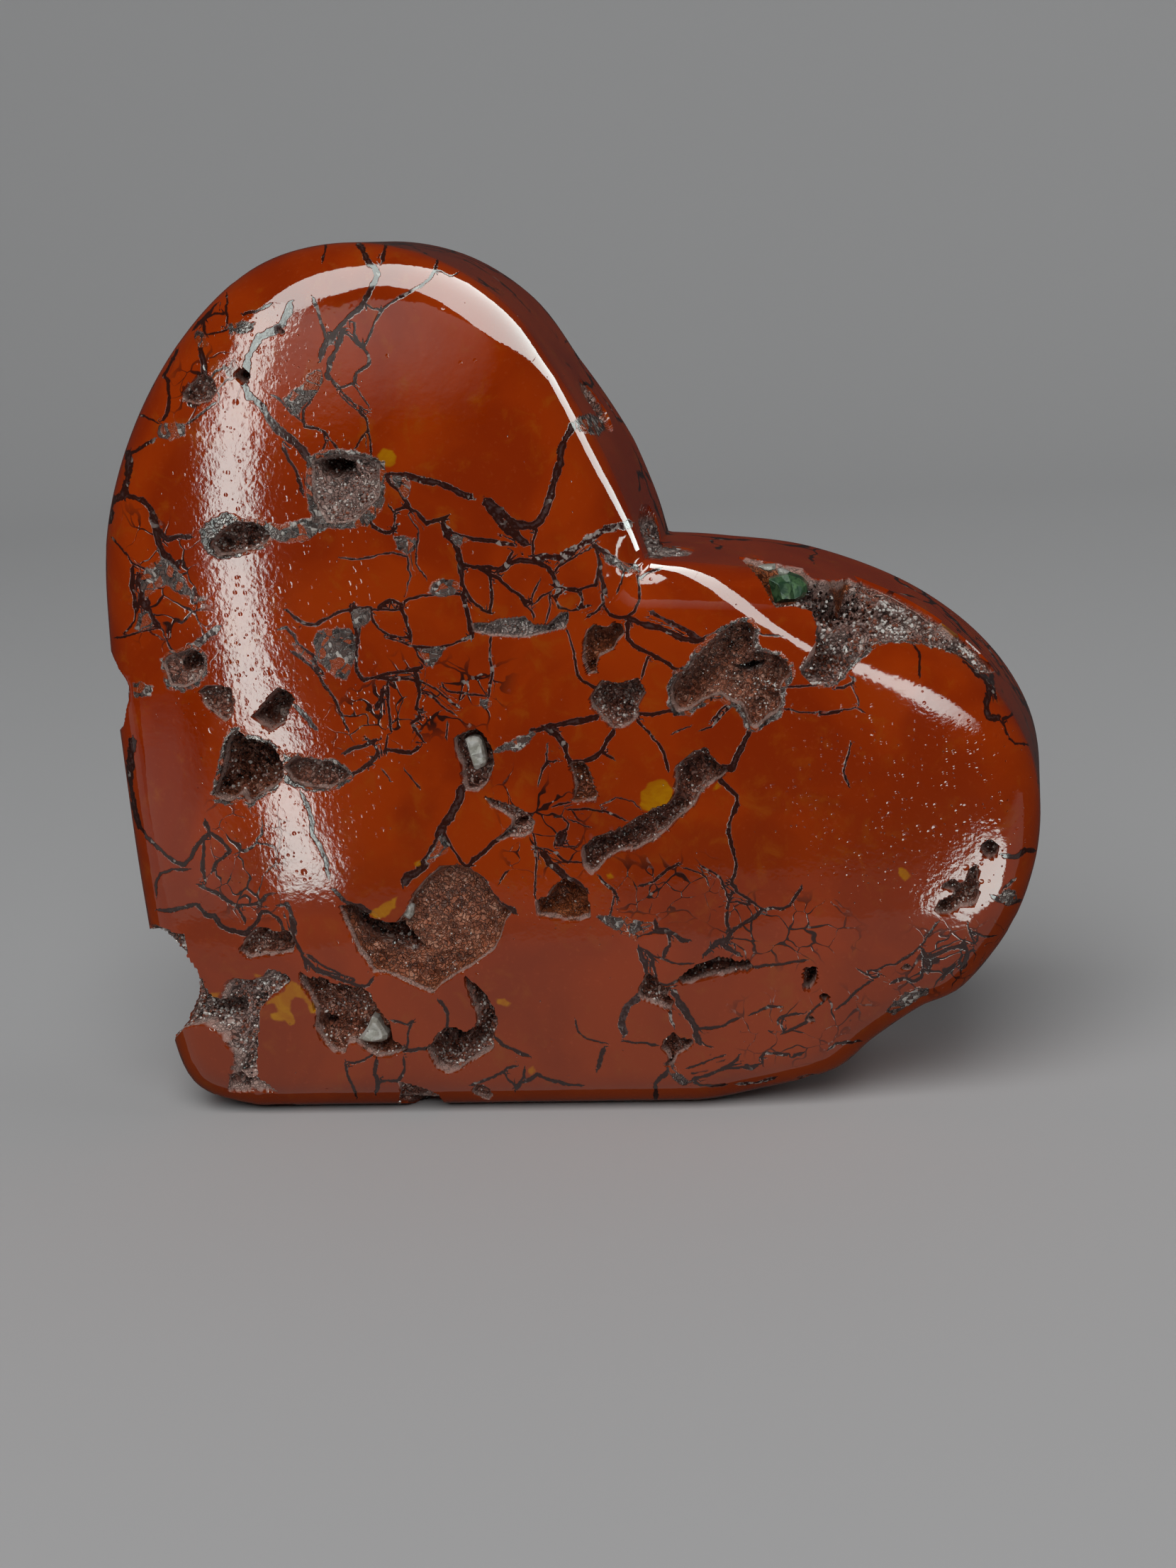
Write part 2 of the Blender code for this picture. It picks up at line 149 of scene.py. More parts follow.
world = bpy.data.worlds.new("room")
world.use_nodes = True
world.node_tree.nodes["Background"].inputs["Color"].default_value = (*ROOM_GREY, 1.0)
world.node_tree.nodes["Background"].inputs["Strength"].default_value = ROOM_GLOW
bpy.context.scene.world = world
bpy.context.scene.view_settings.view_transform = "Standard"
for name, (start, end, width, glow, lights) in PANELS.items():
    start, end = Vector(start), Vector(end)
    middle, along = (start + end) / 2.0, (end - start).normalized()
    away = Vector((0.0, 0.0, -1.0)) if name.startswith("floor") else middle - STONE_MIDDLE
    away = (away - along * away.dot(along)).normalized()
    light = bpy.data.lights.new(name, "AREA")
    light.shape, light.color = "RECTANGLE", PANEL_COLOURS[lights]
    light.size, light.size_y = (end - start).length * MM, width * MM
    light.energy = glow * light.size * light.size_y * math.pi
    panel = bpy.data.objects.new(name, light)
    turn = Matrix((along, away.cross(along), away)).transposed().to_4x4()
    panel.matrix_world = Matrix.Translation(middle * MM) @ turn
    panel.visible_camera = False
    panel.visible_diffuse = lights == "matt"
    panel.visible_glossy = lights == "gloss"
    bpy.context.collection.objects.link(panel)

# The heart: one stone of red jasper, sawn, tumbled and polished, with a domed face on each side and
# a rounded edge. Its hollows were open in the rough stone, and polishing has left them as they were.
# Outline seen from the front, in millimetres: the notch, round by the left to the base, then the right.
THICKNESS, EDGE_RADIUS, FACE_CROWN, CROWN_POWER = 27.0, 4.0, 1.5, 4
FACE_CENTRE = np.array((-3.4, 35.0))
NOTCH = (7.6, 47.7)
UPPER_LOBE_AND_LEFT_SIDE = [
    (6.6, 51.6), (4.4, 57.4), (1.2, 63.5), (-2.8, 69.5), (-9.0, 73.8), (-16.4, 75.3),
    (-23.9, 73.7), (-30.5, 68.4), (-35.7, 60.8), (-38.9, 52.0), (-39.6, 42.0),
    (-39.4, 31.0), (-38.9, 20.0), (-37.9, 9.5), (-35.9, 2.4)]
BASE_LEFT, BASE_RIGHT = (-29.9, 0.0), (9.6, 0.0)
RIGHT_LOBE = [
    (14.6, 0.9), (21.4, 2.6), (25.0, 5.4), (29.0, 8.1), (33.0, 10.1), (37.4, 15.9), (39.6, 23.0),
    (39.1, 30.2), (35.4, 36.7), (28.9, 42.1), (20.3, 45.8), (12.4, 47.2)]
BACK_TAPER, TAPER_LOW, TAPER_HIGH = 0.6, 56.0, 64.0
OUTLINE_STEPS, BASE_LEAD = 12, 6.0
# Places are measured against a line this many at once.
AT_ONCE = 4000


def curve_through(points, before, after):
    """Smooth run of places through the points, with one neighbour given beyond each end."""
    run = np.array([before, *points, after], float)
    t = (np.arange(OUTLINE_STEPS) / OUTLINE_STEPS)[:, None]
    spans = [0.5 * (2 * b + (c - a) * t + (2 * a - 5 * b + 4 * c - d) * t ** 2
                    + (3 * b - a - 3 * c + d) * t ** 3)
             for a, b, c, d in zip(run, run[1:], run[2:], run[3:])]
    return np.concatenate([*spans, run[-2:-1]])


def beyond(end, neighbour):
    """Place beyond the end of a run, so that the curve leaves it straight."""
    return tuple(2 * a - b for a, b in zip(end, neighbour))


left_run = [NOTCH, *UPPER_LOBE_AND_LEFT_SIDE, BASE_LEFT]
right_run = [BASE_RIGHT, *RIGHT_LOBE, NOTCH]
base_run = np.linspace(BASE_LEFT, BASE_RIGHT, 4 * OUTLINE_STEPS)[1:-1]
outline = np.concatenate([
    curve_through(left_run, beyond(*left_run[:2]), (BASE_LEFT[0] + BASE_LEAD, 0.0)),
    base_run,
    curve_through(right_run, (BASE_RIGHT[0] - BASE_LEAD, 0.0), beyond(right_run[-1], right_run[-2]))[:-1]])
tangent = np.roll(outline, -1, 0) - np.roll(outline, 1, 0)
tangent /= np.linalg.norm(tangent, axis=1)[:, None]
inward = np.stack([-tangent[:, 1], tangent[:, 0]], 1)
spoke = outline - FACE_CENTRE
spoke_length = np.linalg.norm(spoke, axis=1)
spoke_angle = np.unwrap(np.arctan2(spoke[:, 1], spoke[:, 0]))
rim_depth = -(spoke * inward).sum(1)


def round_the_rim(angle, values):
    """Value at an angle about the face centre, from the values at the outline's points."""
    start = spoke_angle[0]
    lap = start + (angle - start) % (2 * math.pi)
    return np.interp(lap, [*spoke_angle, start + 2 * math.pi], [*values, values[0]])


def body_places(cube):
    """Places on the polished heart, in millimetres, for places on a cube of side 2.

    The cube's faces at Y = -1 and 1 become the domed faces, and the four others the edge of the stone.
    """
    a, b, c = cube.T
    ring = np.maximum(np.abs(a), np.abs(c))
    by_a = np.abs(a) > np.abs(c)
    safe_a, safe_c = np.where(a == 0, 1e-9, a), np.where(c == 0, 1e-9, c)
    angle = np.where(by_a, math.pi / 4 * c / safe_a + np.where(a < 0, math.pi, 0.0),
                     math.pi / 2 - math.pi / 4 * a / safe_c + np.where(c < 0, math.pi, 0.0))
    length, across = round_the_rim(angle, spoke_length), round_the_rim(angle, rim_depth)
    quarter = math.pi / 2 * EDGE_RADIUS
    from_rim = (1 - ring) * across
    in_round = EDGE_RADIUS * (1 - np.cos(np.minimum(from_rim, quarter) / EDGE_RADIUS))
    in_face = EDGE_RADIUS + (from_rim - quarter) * (across - EDGE_RADIUS) / (across - quarter)
    inset = np.where(from_rim < quarter, in_round, in_face)
    reach = 1 - inset / across
    flat = FACE_CENTRE + np.stack([np.cos(angle), np.sin(angle)], 1) * (length * reach)[:, None]
    near = np.where(ring > 1 - 1e-6, 0.0, distance_to_line(flat, np.vstack([outline, outline[:1]]))[0])
    near = np.minimum(near, EDGE_RADIUS)
    drop = EDGE_RADIUS - np.sqrt(EDGE_RADIUS ** 2 - (EDGE_RADIUS - near) ** 2)
    half = THICKNESS / 2 - FACE_CROWN * reach ** CROWN_POWER - drop
    inward_here = np.stack([round_the_rim(angle, inward[:, 0]), round_the_rim(angle, inward[:, 1])], 1)
    narrowing = BACK_TAPER * np.clip((flat[:, 1] - TAPER_LOW) / (TAPER_HIGH - TAPER_LOW), 0, 1)
    flat = flat + inward_here * (narrowing * reach * (b + 1) / 2)[:, None]
    return np.stack([flat[:, 0], b * half, flat[:, 1]], 1)


def distance_to_line(places, line):
    """Distance from flat places to a line of points, the side they lie on, and how far along it."""
    line = np.asarray(line, float)
    start, run = line[:-1], np.diff(line, axis=0)
    found = []
    for first in range(0, len(places), AT_ONCE):
        offset = places[first:first + AT_ONCE, None] - start
        share = np.clip((offset * run).sum(2) / (run ** 2).sum(1), 0, 1)
        gap = offset - share[..., None] * run
        far = np.hypot(gap[..., 0], gap[..., 1])
        best = far.argmin(1)
        row = np.arange(len(best))
        side = np.sign(run[best, 0] * gap[row, best, 1] - run[best, 1] * gap[row, best, 0])
        found.append(np.stack([far[row, best], side, best + share[row, best]], 1))
    return np.concatenate(found).T if found else np.zeros((3, 0))


def inside_rim(places, rim):
    """Distance from flat places into a closed rim: above zero inside it and below zero outside."""
    rim = np.asarray(rim, float)
    closed = np.vstack([rim, rim[:1]])
    far = distance_to_line(places, closed)[0]
    x, y = places.T
    crossings = np.zeros(len(places), int)
    for (x0, y0), (x1, y1) in zip(closed, closed[1:]):
        spans = (y0 > y) != (y1 > y)
        if y0 != y1:
            crossings += spans & (x < x0 + (y - y0) * (x1 - x0) / (y1 - y0))
    return np.where(crossings % 2 == 1, far, -far)


# Hollows that the polished face opens: the depth in millimetres, how far in from its rim each reaches
# that depth, and its rim, read as pixels of the camera's frame.
HOLLOWS = {
    "square_pit": (0.9, 0.6, [(440, 650), (470, 641), (505, 643), (535, 655), (535, 700), (505, 733),
     (485, 738), (462, 738), (441, 705)]),
    "square_pit_hole": (5.0, 0.6, [(447, 653), (475, 647), (500, 655), (497, 668), (470, 675), (452, 668)]),
    "oval_pit": (2.6, 0.8, [(296, 768), (305, 755), (322, 742), (337, 736), (355, 737), (372, 745),
     (380, 752), (376, 765), (355, 775), (330, 782), (307, 785)]),
    "lobe_hole": (2.6, 0.5, [(331, 531), (335, 522), (345, 521), (352, 528), (350, 537), (340, 541)]),
    "pin_hole": (1.2, 0.3, [(391, 469), (394, 464), (399, 464), (401, 469), (397, 473)]),
    "shoulder_pit": (1.8, 0.8, [(255, 555), (270, 540), (285, 527), (300, 535), (305, 552), (295, 566),
     (278, 571), (260, 567)]),
    "edge_pit": (0.7, 0.5, [(230, 935), (237, 925), (255, 920), (272, 914), (287, 928), (288, 947),
     (277, 962), (260, 970), (240, 967)]),
    "edge_pit_hole": (3.0, 0.6, [(255, 937), (260, 927), (270, 920), (282, 921), (286, 942), (275, 947),
     (262, 950)]),
    "shallow_pit": (1.5, 0.8, [(280, 975), (290, 967), (310, 967), (325, 972), (330, 990), (327, 1010),
     (318, 1018), (305, 1010), (290, 997)]),
    "deep_pit": (3.6, 0.8, [(355, 1012), (365, 1000), (377, 985), (392, 970), (405, 975), (415, 987),
     (407, 1002), (400, 1022), (380, 1032)]),
    "triangle_pit": (4.2, 1.2, [(325, 1036), (335, 1030), (347, 1042), (365, 1046), (380, 1050),
     (392, 1065), (400, 1085), (397, 1100), (385, 1112), (365, 1122), (352, 1135), (340, 1120),
     (325, 1132), (305, 1125), (302, 1120), (310, 1095), (315, 1080), (317, 1055)]),
    "triangle_arm": (1.5, 0.6, [(400, 1082), (417, 1067), (430, 1070), (465, 1075), (485, 1085),
     (494, 1095), (485, 1102), (465, 1112), (440, 1112), (412, 1102)]),
    "seam": (0.9, 0.4, [(665, 879), (690, 880), (702, 874), (727, 872), (740, 870), (752, 882), (772, 882),
     (790, 865), (802, 864), (802, 875), (797, 887), (775, 892), (740, 900), (690, 897), (667, 892)]),
    "centre_upper": (2.0, 0.7, [(827, 890), (837, 882), (857, 885), (865, 877), (877, 882), (880, 895),
     (870, 905), (865, 917), (845, 927), (840, 940), (842, 950), (829, 952), (822, 930), (822, 910)]),
    "centre_lower": (3.0, 1.1, [(840, 972), (850, 960), (872, 965), (900, 957), (910, 977), (900, 995),
     (900, 1010), (885, 1025), (865, 1030), (850, 1015), (835, 1000), (832, 987)]),
    "right_hollow": (2.6, 1.0, [(945, 972), (955, 952), (970, 945), (980, 927), (997, 910), (1012, 897),
     (1027, 885), (1045, 877), (1057, 880), (1065, 890), (1062, 907), (1065, 917), (1080, 922),
     (1100, 927), (1110, 937), (1115, 952), (1102, 965), (1100, 980), (1102, 992), (1097, 1005),
     (1080, 1015), (1067, 1027), (1057, 1025), (1052, 1010), (1045, 995), (1030, 990), (1017, 980),
     (1005, 982), (987, 992), (972, 1002), (955, 1005), (947, 990)]),
    "right_hollow_hole": (5.4, 0.5, [(1030, 943), (1045, 945), (1060, 940), (1076, 938), (1073, 948),
     (1055, 957), (1043, 955)]),
    "pellet_pit": (2.2, 0.6, [(640, 1041), (655, 1034), (670, 1029), (682, 1037), (689, 1050), (693, 1060),
     (696, 1075), (692, 1092), (685, 1108), (672, 1117), (658, 1116), (652, 1100), (650, 1080),
     (642, 1058)]),
    "upper_middle_pit": (1.6, 0.6, [(802, 1078), (822, 1074), (830, 1087), (835, 1102), (842, 1122),
     (840, 1130), (825, 1132), (807, 1132), (811, 1110), (807, 1092)]),
    "bent_pit": (1.0, 0.4, [(682, 1124), (700, 1130), (732, 1140), (745, 1150), (754, 1159), (750, 1175),
     (738, 1181), (720, 1180), (705, 1187), (699, 1186), (722, 1165), (722, 1155), (708, 1146),
     (693, 1139)]),
    "bent_pit_hole": (2.2, 0.3, [(722, 1161), (735, 1155), (745, 1157), (740, 1165), (728, 1169)]),
    "small_triangle_pit": (2.6, 0.9, [(755, 1270), (770, 1267), (780, 1252), (795, 1240), (812, 1247),
     (827, 1257), (830, 1275), (832, 1295), (812, 1300), (780, 1297), (757, 1292)]),
    "channel": (2.8, 1.0, [(820, 1197), (835, 1184), (857, 1177), (882, 1166), (902, 1152), (920, 1143),
     (945, 1133), (952, 1120), (953, 1100), (952, 1085), (962, 1074), (978, 1062), (995, 1055),
     (1005, 1070), (1020, 1082), (1027, 1087), (1015, 1100), (1000, 1107), (987, 1120), (980, 1135),
     (970, 1145), (955, 1157), (940, 1172), (920, 1187), (895, 1200), (875, 1202), (855, 1212),
     (845, 1225), (835, 1235), (822, 1222)]),
    "great_hollow": (1.5, 0.8, [(572, 1287), (583, 1262), (600, 1240), (620, 1224), (645, 1220),
     (665, 1227), (682, 1240), (692, 1257), (705, 1275), (722, 1288), (712, 1300), (707, 1320),
     (697, 1340), (680, 1352), (665, 1364), (648, 1372), (637, 1380), (622, 1390), (610, 1402),
     (590, 1394), (560, 1380), (540, 1372), (526, 1372), (517, 1355), (505, 1342), (497, 1322),
     (485, 1297), (478, 1278), (495, 1277), (512, 1285), (525, 1297), (545, 1301), (560, 1302)]),
    "great_hollow_dark_part": (5.0, 0.9, [(484, 1281), (497, 1279), (512, 1286), (526, 1299), (548, 1303),
     (566, 1306), (580, 1325), (598, 1342), (580, 1350), (555, 1340), (528, 1335), (505, 1318)]),
    "brown_hollow": (2.2, 1.0, [(337, 1342), (348, 1322), (365, 1307), (390, 1315), (410, 1314),
     (416, 1330), (412, 1344), (390, 1347), (365, 1350), (350, 1352)]),
    "chip_hollow": (2.4, 0.8, [(422, 1374), (432, 1380), (452, 1381), (467, 1387), (490, 1392), (512, 1395),
     (522, 1402), (526, 1412), (537, 1430), (549, 1442), (551, 1452), (554, 1468), (575, 1480),
     (552, 1490), (532, 1492), (515, 1482), (503, 1472), (491, 1470), (485, 1487), (472, 1485),
     (460, 1475), (450, 1462), (444, 1447), (447, 1430), (438, 1408), (426, 1392)]),
    "chip_hollow_hole": (4.6, 0.4, [(452, 1440), (460, 1438), (465, 1447), (471, 1456), (462, 1457),
     (451, 1450)]),
    "crescent_hollow": (3.4, 0.9, [(655, 1376), (665, 1385), (682, 1400), (690, 1412), (697, 1425),
     (701, 1440), (700, 1450), (695, 1460), (697, 1470), (695, 1480), (682, 1488), (667, 1496),
     (657, 1503), (645, 1512), (630, 1514), (615, 1507), (606, 1488), (602, 1479), (610, 1472),
     (615, 1462), (625, 1453), (635, 1450), (645, 1451), (655, 1457), (662, 1455), (672, 1447),
     (673, 1430), (666, 1418), (662, 1405), (658, 1392)]),
    "slit": (2.6, 0.5, [(956, 1382), (962, 1377), (972, 1369), (985, 1362), (995, 1357), (1012, 1352),
     (1030, 1354), (1040, 1359), (1047, 1357), (1057, 1356), (1062, 1362), (1055, 1370), (1040, 1371),
     (1030, 1374), (1012, 1377), (992, 1382), (975, 1388), (962, 1389)]),
    "key_hole": (3.2, 0.5, [(1135, 1365), (1152, 1365), (1151, 1380), (1147, 1390), (1140, 1397),
     (1130, 1397), (1135, 1385)]),
    "key_dot": (2.2, 0.3, [(1156, 1402), (1165, 1401), (1168, 1407), (1163, 1414), (1156, 1408)]),
    "vein_hole": (1.2, 0.3, [(1139, 1437), (1147, 1434), (1151, 1439), (1144, 1443), (1139, 1441)]),
    "low_pit": (2.0, 0.7, [(910, 1377), (917, 1375), (925, 1380), (935, 1392), (945, 1395), (941, 1405),
     (950, 1413), (945, 1427), (935, 1422), (920, 1415), (905, 1410), (900, 1404), (902, 1394)]),
    "base_pit": (2.0, 0.7, [(932, 1480), (937, 1468), (945, 1461), (952, 1456), (957, 1465), (970, 1467),
     (980, 1469), (975, 1475), (967, 1482), (955, 1489), (950, 1500), (945, 1505), (938, 1503),
     (944, 1495), (941, 1488)]),
    "foot_pit": (1.0, 0.4, [(665, 1540), (670, 1532), (682, 1531), (690, 1536), (695, 1545), (690, 1551),
     (680, 1549), (671, 1545)]),
    "lobe_eye": (2.8, 0.6, [(1383, 1198), (1387, 1189), (1396, 1186), (1405, 1190), (1409, 1199),
     (1407, 1208), (1398, 1213), (1388, 1209)]),
    "lobe_pit": (2.2, 0.7, [(1327, 1253), (1337, 1243), (1347, 1242), (1353, 1247), (1362, 1242),
     (1367, 1233), (1367, 1227), (1377, 1222), (1380, 1228), (1379, 1240), (1380, 1255), (1381, 1265),
     (1377, 1275), (1367, 1280), (1355, 1280), (1347, 1285), (1337, 1292), (1327, 1292), (1320, 1287),
     (1321, 1280), (1328, 1272), (1342, 1265), (1345, 1259)]),
    "ring_hole": (1.2, 0.4, [(1273, 1365), (1280, 1361), (1287, 1364), (1284, 1369), (1276, 1370)])}
# Hollows that break through the rounded edge: the rims of four, as above, and for all of them the way
# they sink and the rounded lumps of stone that are missing (centre x, y, z, then half sizes, in mm).
EDGE_RIMS = {
    "groove": (1.2, 0.8, [(1046, 788), (1060, 786), (1073, 791), (1101, 796), (1132, 802), (1144, 816),
     (1165, 819), (1184, 819), (1196, 815), (1210, 822), (1222, 808), (1233, 800), (1254, 812),
     (1285, 834), (1312, 860), (1324, 868), (1330, 885), (1345, 897), (1358, 898), (1380, 914),
     (1395, 930), (1412, 943), (1395, 949), (1380, 946), (1367, 930), (1340, 917), (1300, 907),
     (1275, 901), (1247, 903), (1233, 907), (1214, 922), (1196, 940), (1188, 953), (1171, 966),
     (1150, 966), (1134, 955), (1128, 940), (1140, 925), (1152, 905), (1153, 880), (1146, 862),
     (1122, 854), (1095, 856), (1088, 845), (1075, 820), (1061, 803)]),
    "corner_hollow": (1.4, 0.8, [(262, 1350), (272, 1362), (280, 1376), (288, 1394), (298, 1408),
     (308, 1411), (318, 1388), (327, 1381), (350, 1384), (370, 1379), (384, 1368), (398, 1374),
     (408, 1384), (390, 1398), (374, 1410), (364, 1427), (366, 1440), (363, 1460), (362, 1480),
     (361, 1500), (362, 1520), (345, 1522), (328, 1512), (329, 1492), (320, 1474), (308, 1458),
     (295, 1449), (280, 1446), (258, 1449), (240, 1470), (120, 1470), (120, 1300), (222, 1306),
     (240, 1315), (258, 1320), (263, 1335)]),
    "tip_gap": (1.5, 0.6, [(327, 1506), (345, 1522), (362, 1521), (376, 1530), (392, 1541), (322, 1540)]),
    "base_notch": (1.2, 0.5, [(562, 1525), (575, 1530), (602, 1537), (620, 1547), (626, 1556), (562, 1558),
     (566, 1540)])}
EDGE_LUMPS = {
    "groove": ((-0.28, 0.55, -0.79), [(24.5, -7.4, 43.6, 4.3, 4.8, 4.4), (30.1, -5.6, 41.2, 3.8, 3.6, 3.4),
     (22.7, -13.0, 39.8, 2.7, 3.6, 2.8), (19.3, -7.6, 45.4, 3.2, 3.8, 3.0),
     (34.3, -4.2, 38.0, 2.8, 2.5, 2.6)]),
    "corner_hollow": ((0.72, 0.69, 0.1), [(-32.4, -12.7, 9.8, 3.3, 4.4, 3.9),
     (-36.2, -12.6, 11.8, 2.8, 4.6, 4.4), (-40.4, -6.0, 13.4, 6.8, 13.0, 3.9),
     (-40.4, -7.0, 10.2, 6.3, 12.0, 4.0), (-29.9, -12.6, 3.6, 1.5, 6.0, 4.8)]),
    "tip_gap": ((0.0, 0.45, 0.89), [(-30.3, -11.0, 0.8, 3.7, 6.6, 2.8)]),
    "base_notch": ((0.0, 0.45, 0.89), [(-14.3, -11.0, 0.4, 2.0, 3.4, 1.7)]),
    "notch_pocket": ((-0.35, 0.1, -0.93),
     [(7.3, -1.5, 49.3, 1.5, 5.0, 2.3), (9.6, -3.5, 47.9, 2.2, 3.0, 0.8)]),
    "flank_hollow": ((-0.89, 0.0, -0.46), [(3.1, 0.5, 60.2, 1.7, 2.8, 3.4)]),
    "left_dent": ((1.0, 0.0, 0.0), [(-40.9, -8.0, 38.2, 3.8, 12.0, 3.8)]),
    "low_edge_dent": ((-0.25, 0.3, 0.92), [(19.4, -12.0, 1.3, 1.8, 4.0, 1.6)]),
    "back_edge_hollow": ((0.75, -0.2, -0.63), [(-33.3, 6.0, 65.2, 2.6, 3.0, 2.6)])}
# Pits of the back face: centre x, z, half width, half height, depth, in millimetres, turn in degrees.
BACK_PITS = {
    "back_pit_1": [(-22.0, 56.0, 3.2, 2.0, 3.0, 30)],
    "back_pit_2": [(-30.5, 33.0, 2.0, 3.4, 3.2, 15)],
    "back_pit_3": [(-6.0, 30.0, 3.6, 1.6, 3.0, -25), (-10.5, 32.4, 2.0, 1.4, 2.4, 0)],
    "back_pit_4": [(16.0, 24.0, 2.6, 3.2, 3.4, 20)],
    "back_pit_5": [(-14.0, 12.0, 3.8, 2.4, 3.6, 10)],
    "back_pit_6": [(27.0, 34.5, 2.4, 1.6, 2.4, -35)]}
# Lining of the hollows: tint, from 0 for rust brown through pink and grey to 1 for white, then how many
# crystals a square millimetre has, and their smallest and largest radius.
LININGS = {
    "square_pit": (0.50, 9, 0.06, 0.14), "square_pit_hole": (0.40, 8, 0.07, 0.14),
    "oval_pit": (0.42, 10, 0.07, 0.14), "triangle_pit": (0.24, 8, 0.07, 0.17),
    "triangle_arm": (0.32, 6, 0.06, 0.12), "great_hollow": (0.21, 2.6, 0.04, 0.08),
    "great_hollow_dark_part": (0.34, 8, 0.07, 0.17), "crescent_hollow": (0.44, 9, 0.07, 0.16),
    "corner_hollow": (0.52, 10, 0.08, 0.17), "right_hollow": (0.24, 7, 0.05, 0.11),
    "right_hollow_hole": (0.52, 10, 0.07, 0.15), "channel": (0.34, 8, 0.05, 0.12),
    "groove": (0.50, 9, 0.08, 0.19), "centre_upper": (0.20, 4, 0.05, 0.10),
    "centre_lower": (0.42, 9, 0.06, 0.14), "seam": (0.66, 8, 0.05, 0.10),
    "small_triangle_pit": (0.14, 3, 0.04, 0.09), "brown_hollow": (0.30, 8, 0.06, 0.15),
    "chip_hollow": (0.26, 8, 0.06, 0.14), "notch_pocket": (0.62, 7, 0.08, 0.20),
    "upper_middle_pit": (0.20, 4, 0.05, 0.10), "shoulder_pit": (0.40, 8, 0.06, 0.13),
    "pellet_pit": (0.42, 5, 0.05, 0.10), "deep_pit": (0.38, 5, 0.05, 0.11)}
OTHER_LINING = (0.34, 8, 0.06, 0.13)
# How much rims and floors waver, and how squarely the camera has to see a place for its marks to count.
RIM_WAVE, RIM_WAVE_GRAIN, FLOOR_WAVE = 0.28, 0.55, 0.3
SMALLEST_VIEW_SLOPE, SHARP_ANGLE = 0.12, math.radians(35)
# The faces start this far from the middle of the thickness, and a rim opens over this width.
FACE_START, RIM_SOFTNESS = 4.0, 0.35


def wavy(places, grain, seed=0.0):
    """Smooth noise between -1 and 1 at places in millimetres."""
    shift = Vector((seed, 0.37 * seed, -0.71 * seed))
    return np.array([noise.noise(Vector(place) * grain + shift) for place in places])


def through_lump(places, lump, way):
    """How far places inside a rounded lump go in a direction before they come out of it."""
    centre, sizes, way = np.array(lump[:3]), np.array(lump[3:]), np.array(way)
    swell = 1 + 0.5 * RIM_WAVE * wavy(places, RIM_WAVE_GRAIN, centre[0])
    offset = (places - centre) / (sizes * swell[:, None])
    step = way / sizes
    size, along, outside = step @ step, offset @ step, (offset ** 2).sum(1) - 1
    root = np.sqrt(np.maximum(along ** 2 - size * outside, 0))
    return np.where(outside < 0, (root - along) / size, 0.0)


def back_pit_share(places, pit):
    """Distance from the middle of a pit of the back face, as a share of the distance to its rim."""
    x, z, wide, high, deep, turn = pit
    angle = math.radians(turn)
    right, up = places[:, 0] - x, places[:, 2] - z
    share = np.hypot((right * math.cos(angle) + up * math.sin(angle)) / wide,
                     (up * math.cos(angle) - right * math.sin(angle)) / high)
    return share * (1 + RIM_WAVE * wavy(places, RIM_WAVE_GRAIN, x))


def bowl(inside, deep, wide):
    """Depth of a hollow at a distance inside its rim."""
    return deep * np.sqrt(1 - (1 - np.clip(inside / wide, 0, 1)) ** 2)


bm = bmesh.new()
bmesh.ops.create_cube(bm, size=2.0)
FACE_CELLS, WALL_CELLS = 88, 14
through = [e for e in bm.edges if abs(e.verts[0].co.y - e.verts[1].co.y) > 1.0]
bmesh.ops.subdivide_edges(bm, edges=through, cuts=WALL_CELLS - 1, use_grid_fill=True)
around = [e for e in bm.edges if abs(e.verts[0].co.y - e.verts[1].co.y) < 1e-4]
bmesh.ops.subdivide_edges(bm, edges=around, cuts=FACE_CELLS - 1, use_grid_fill=True)


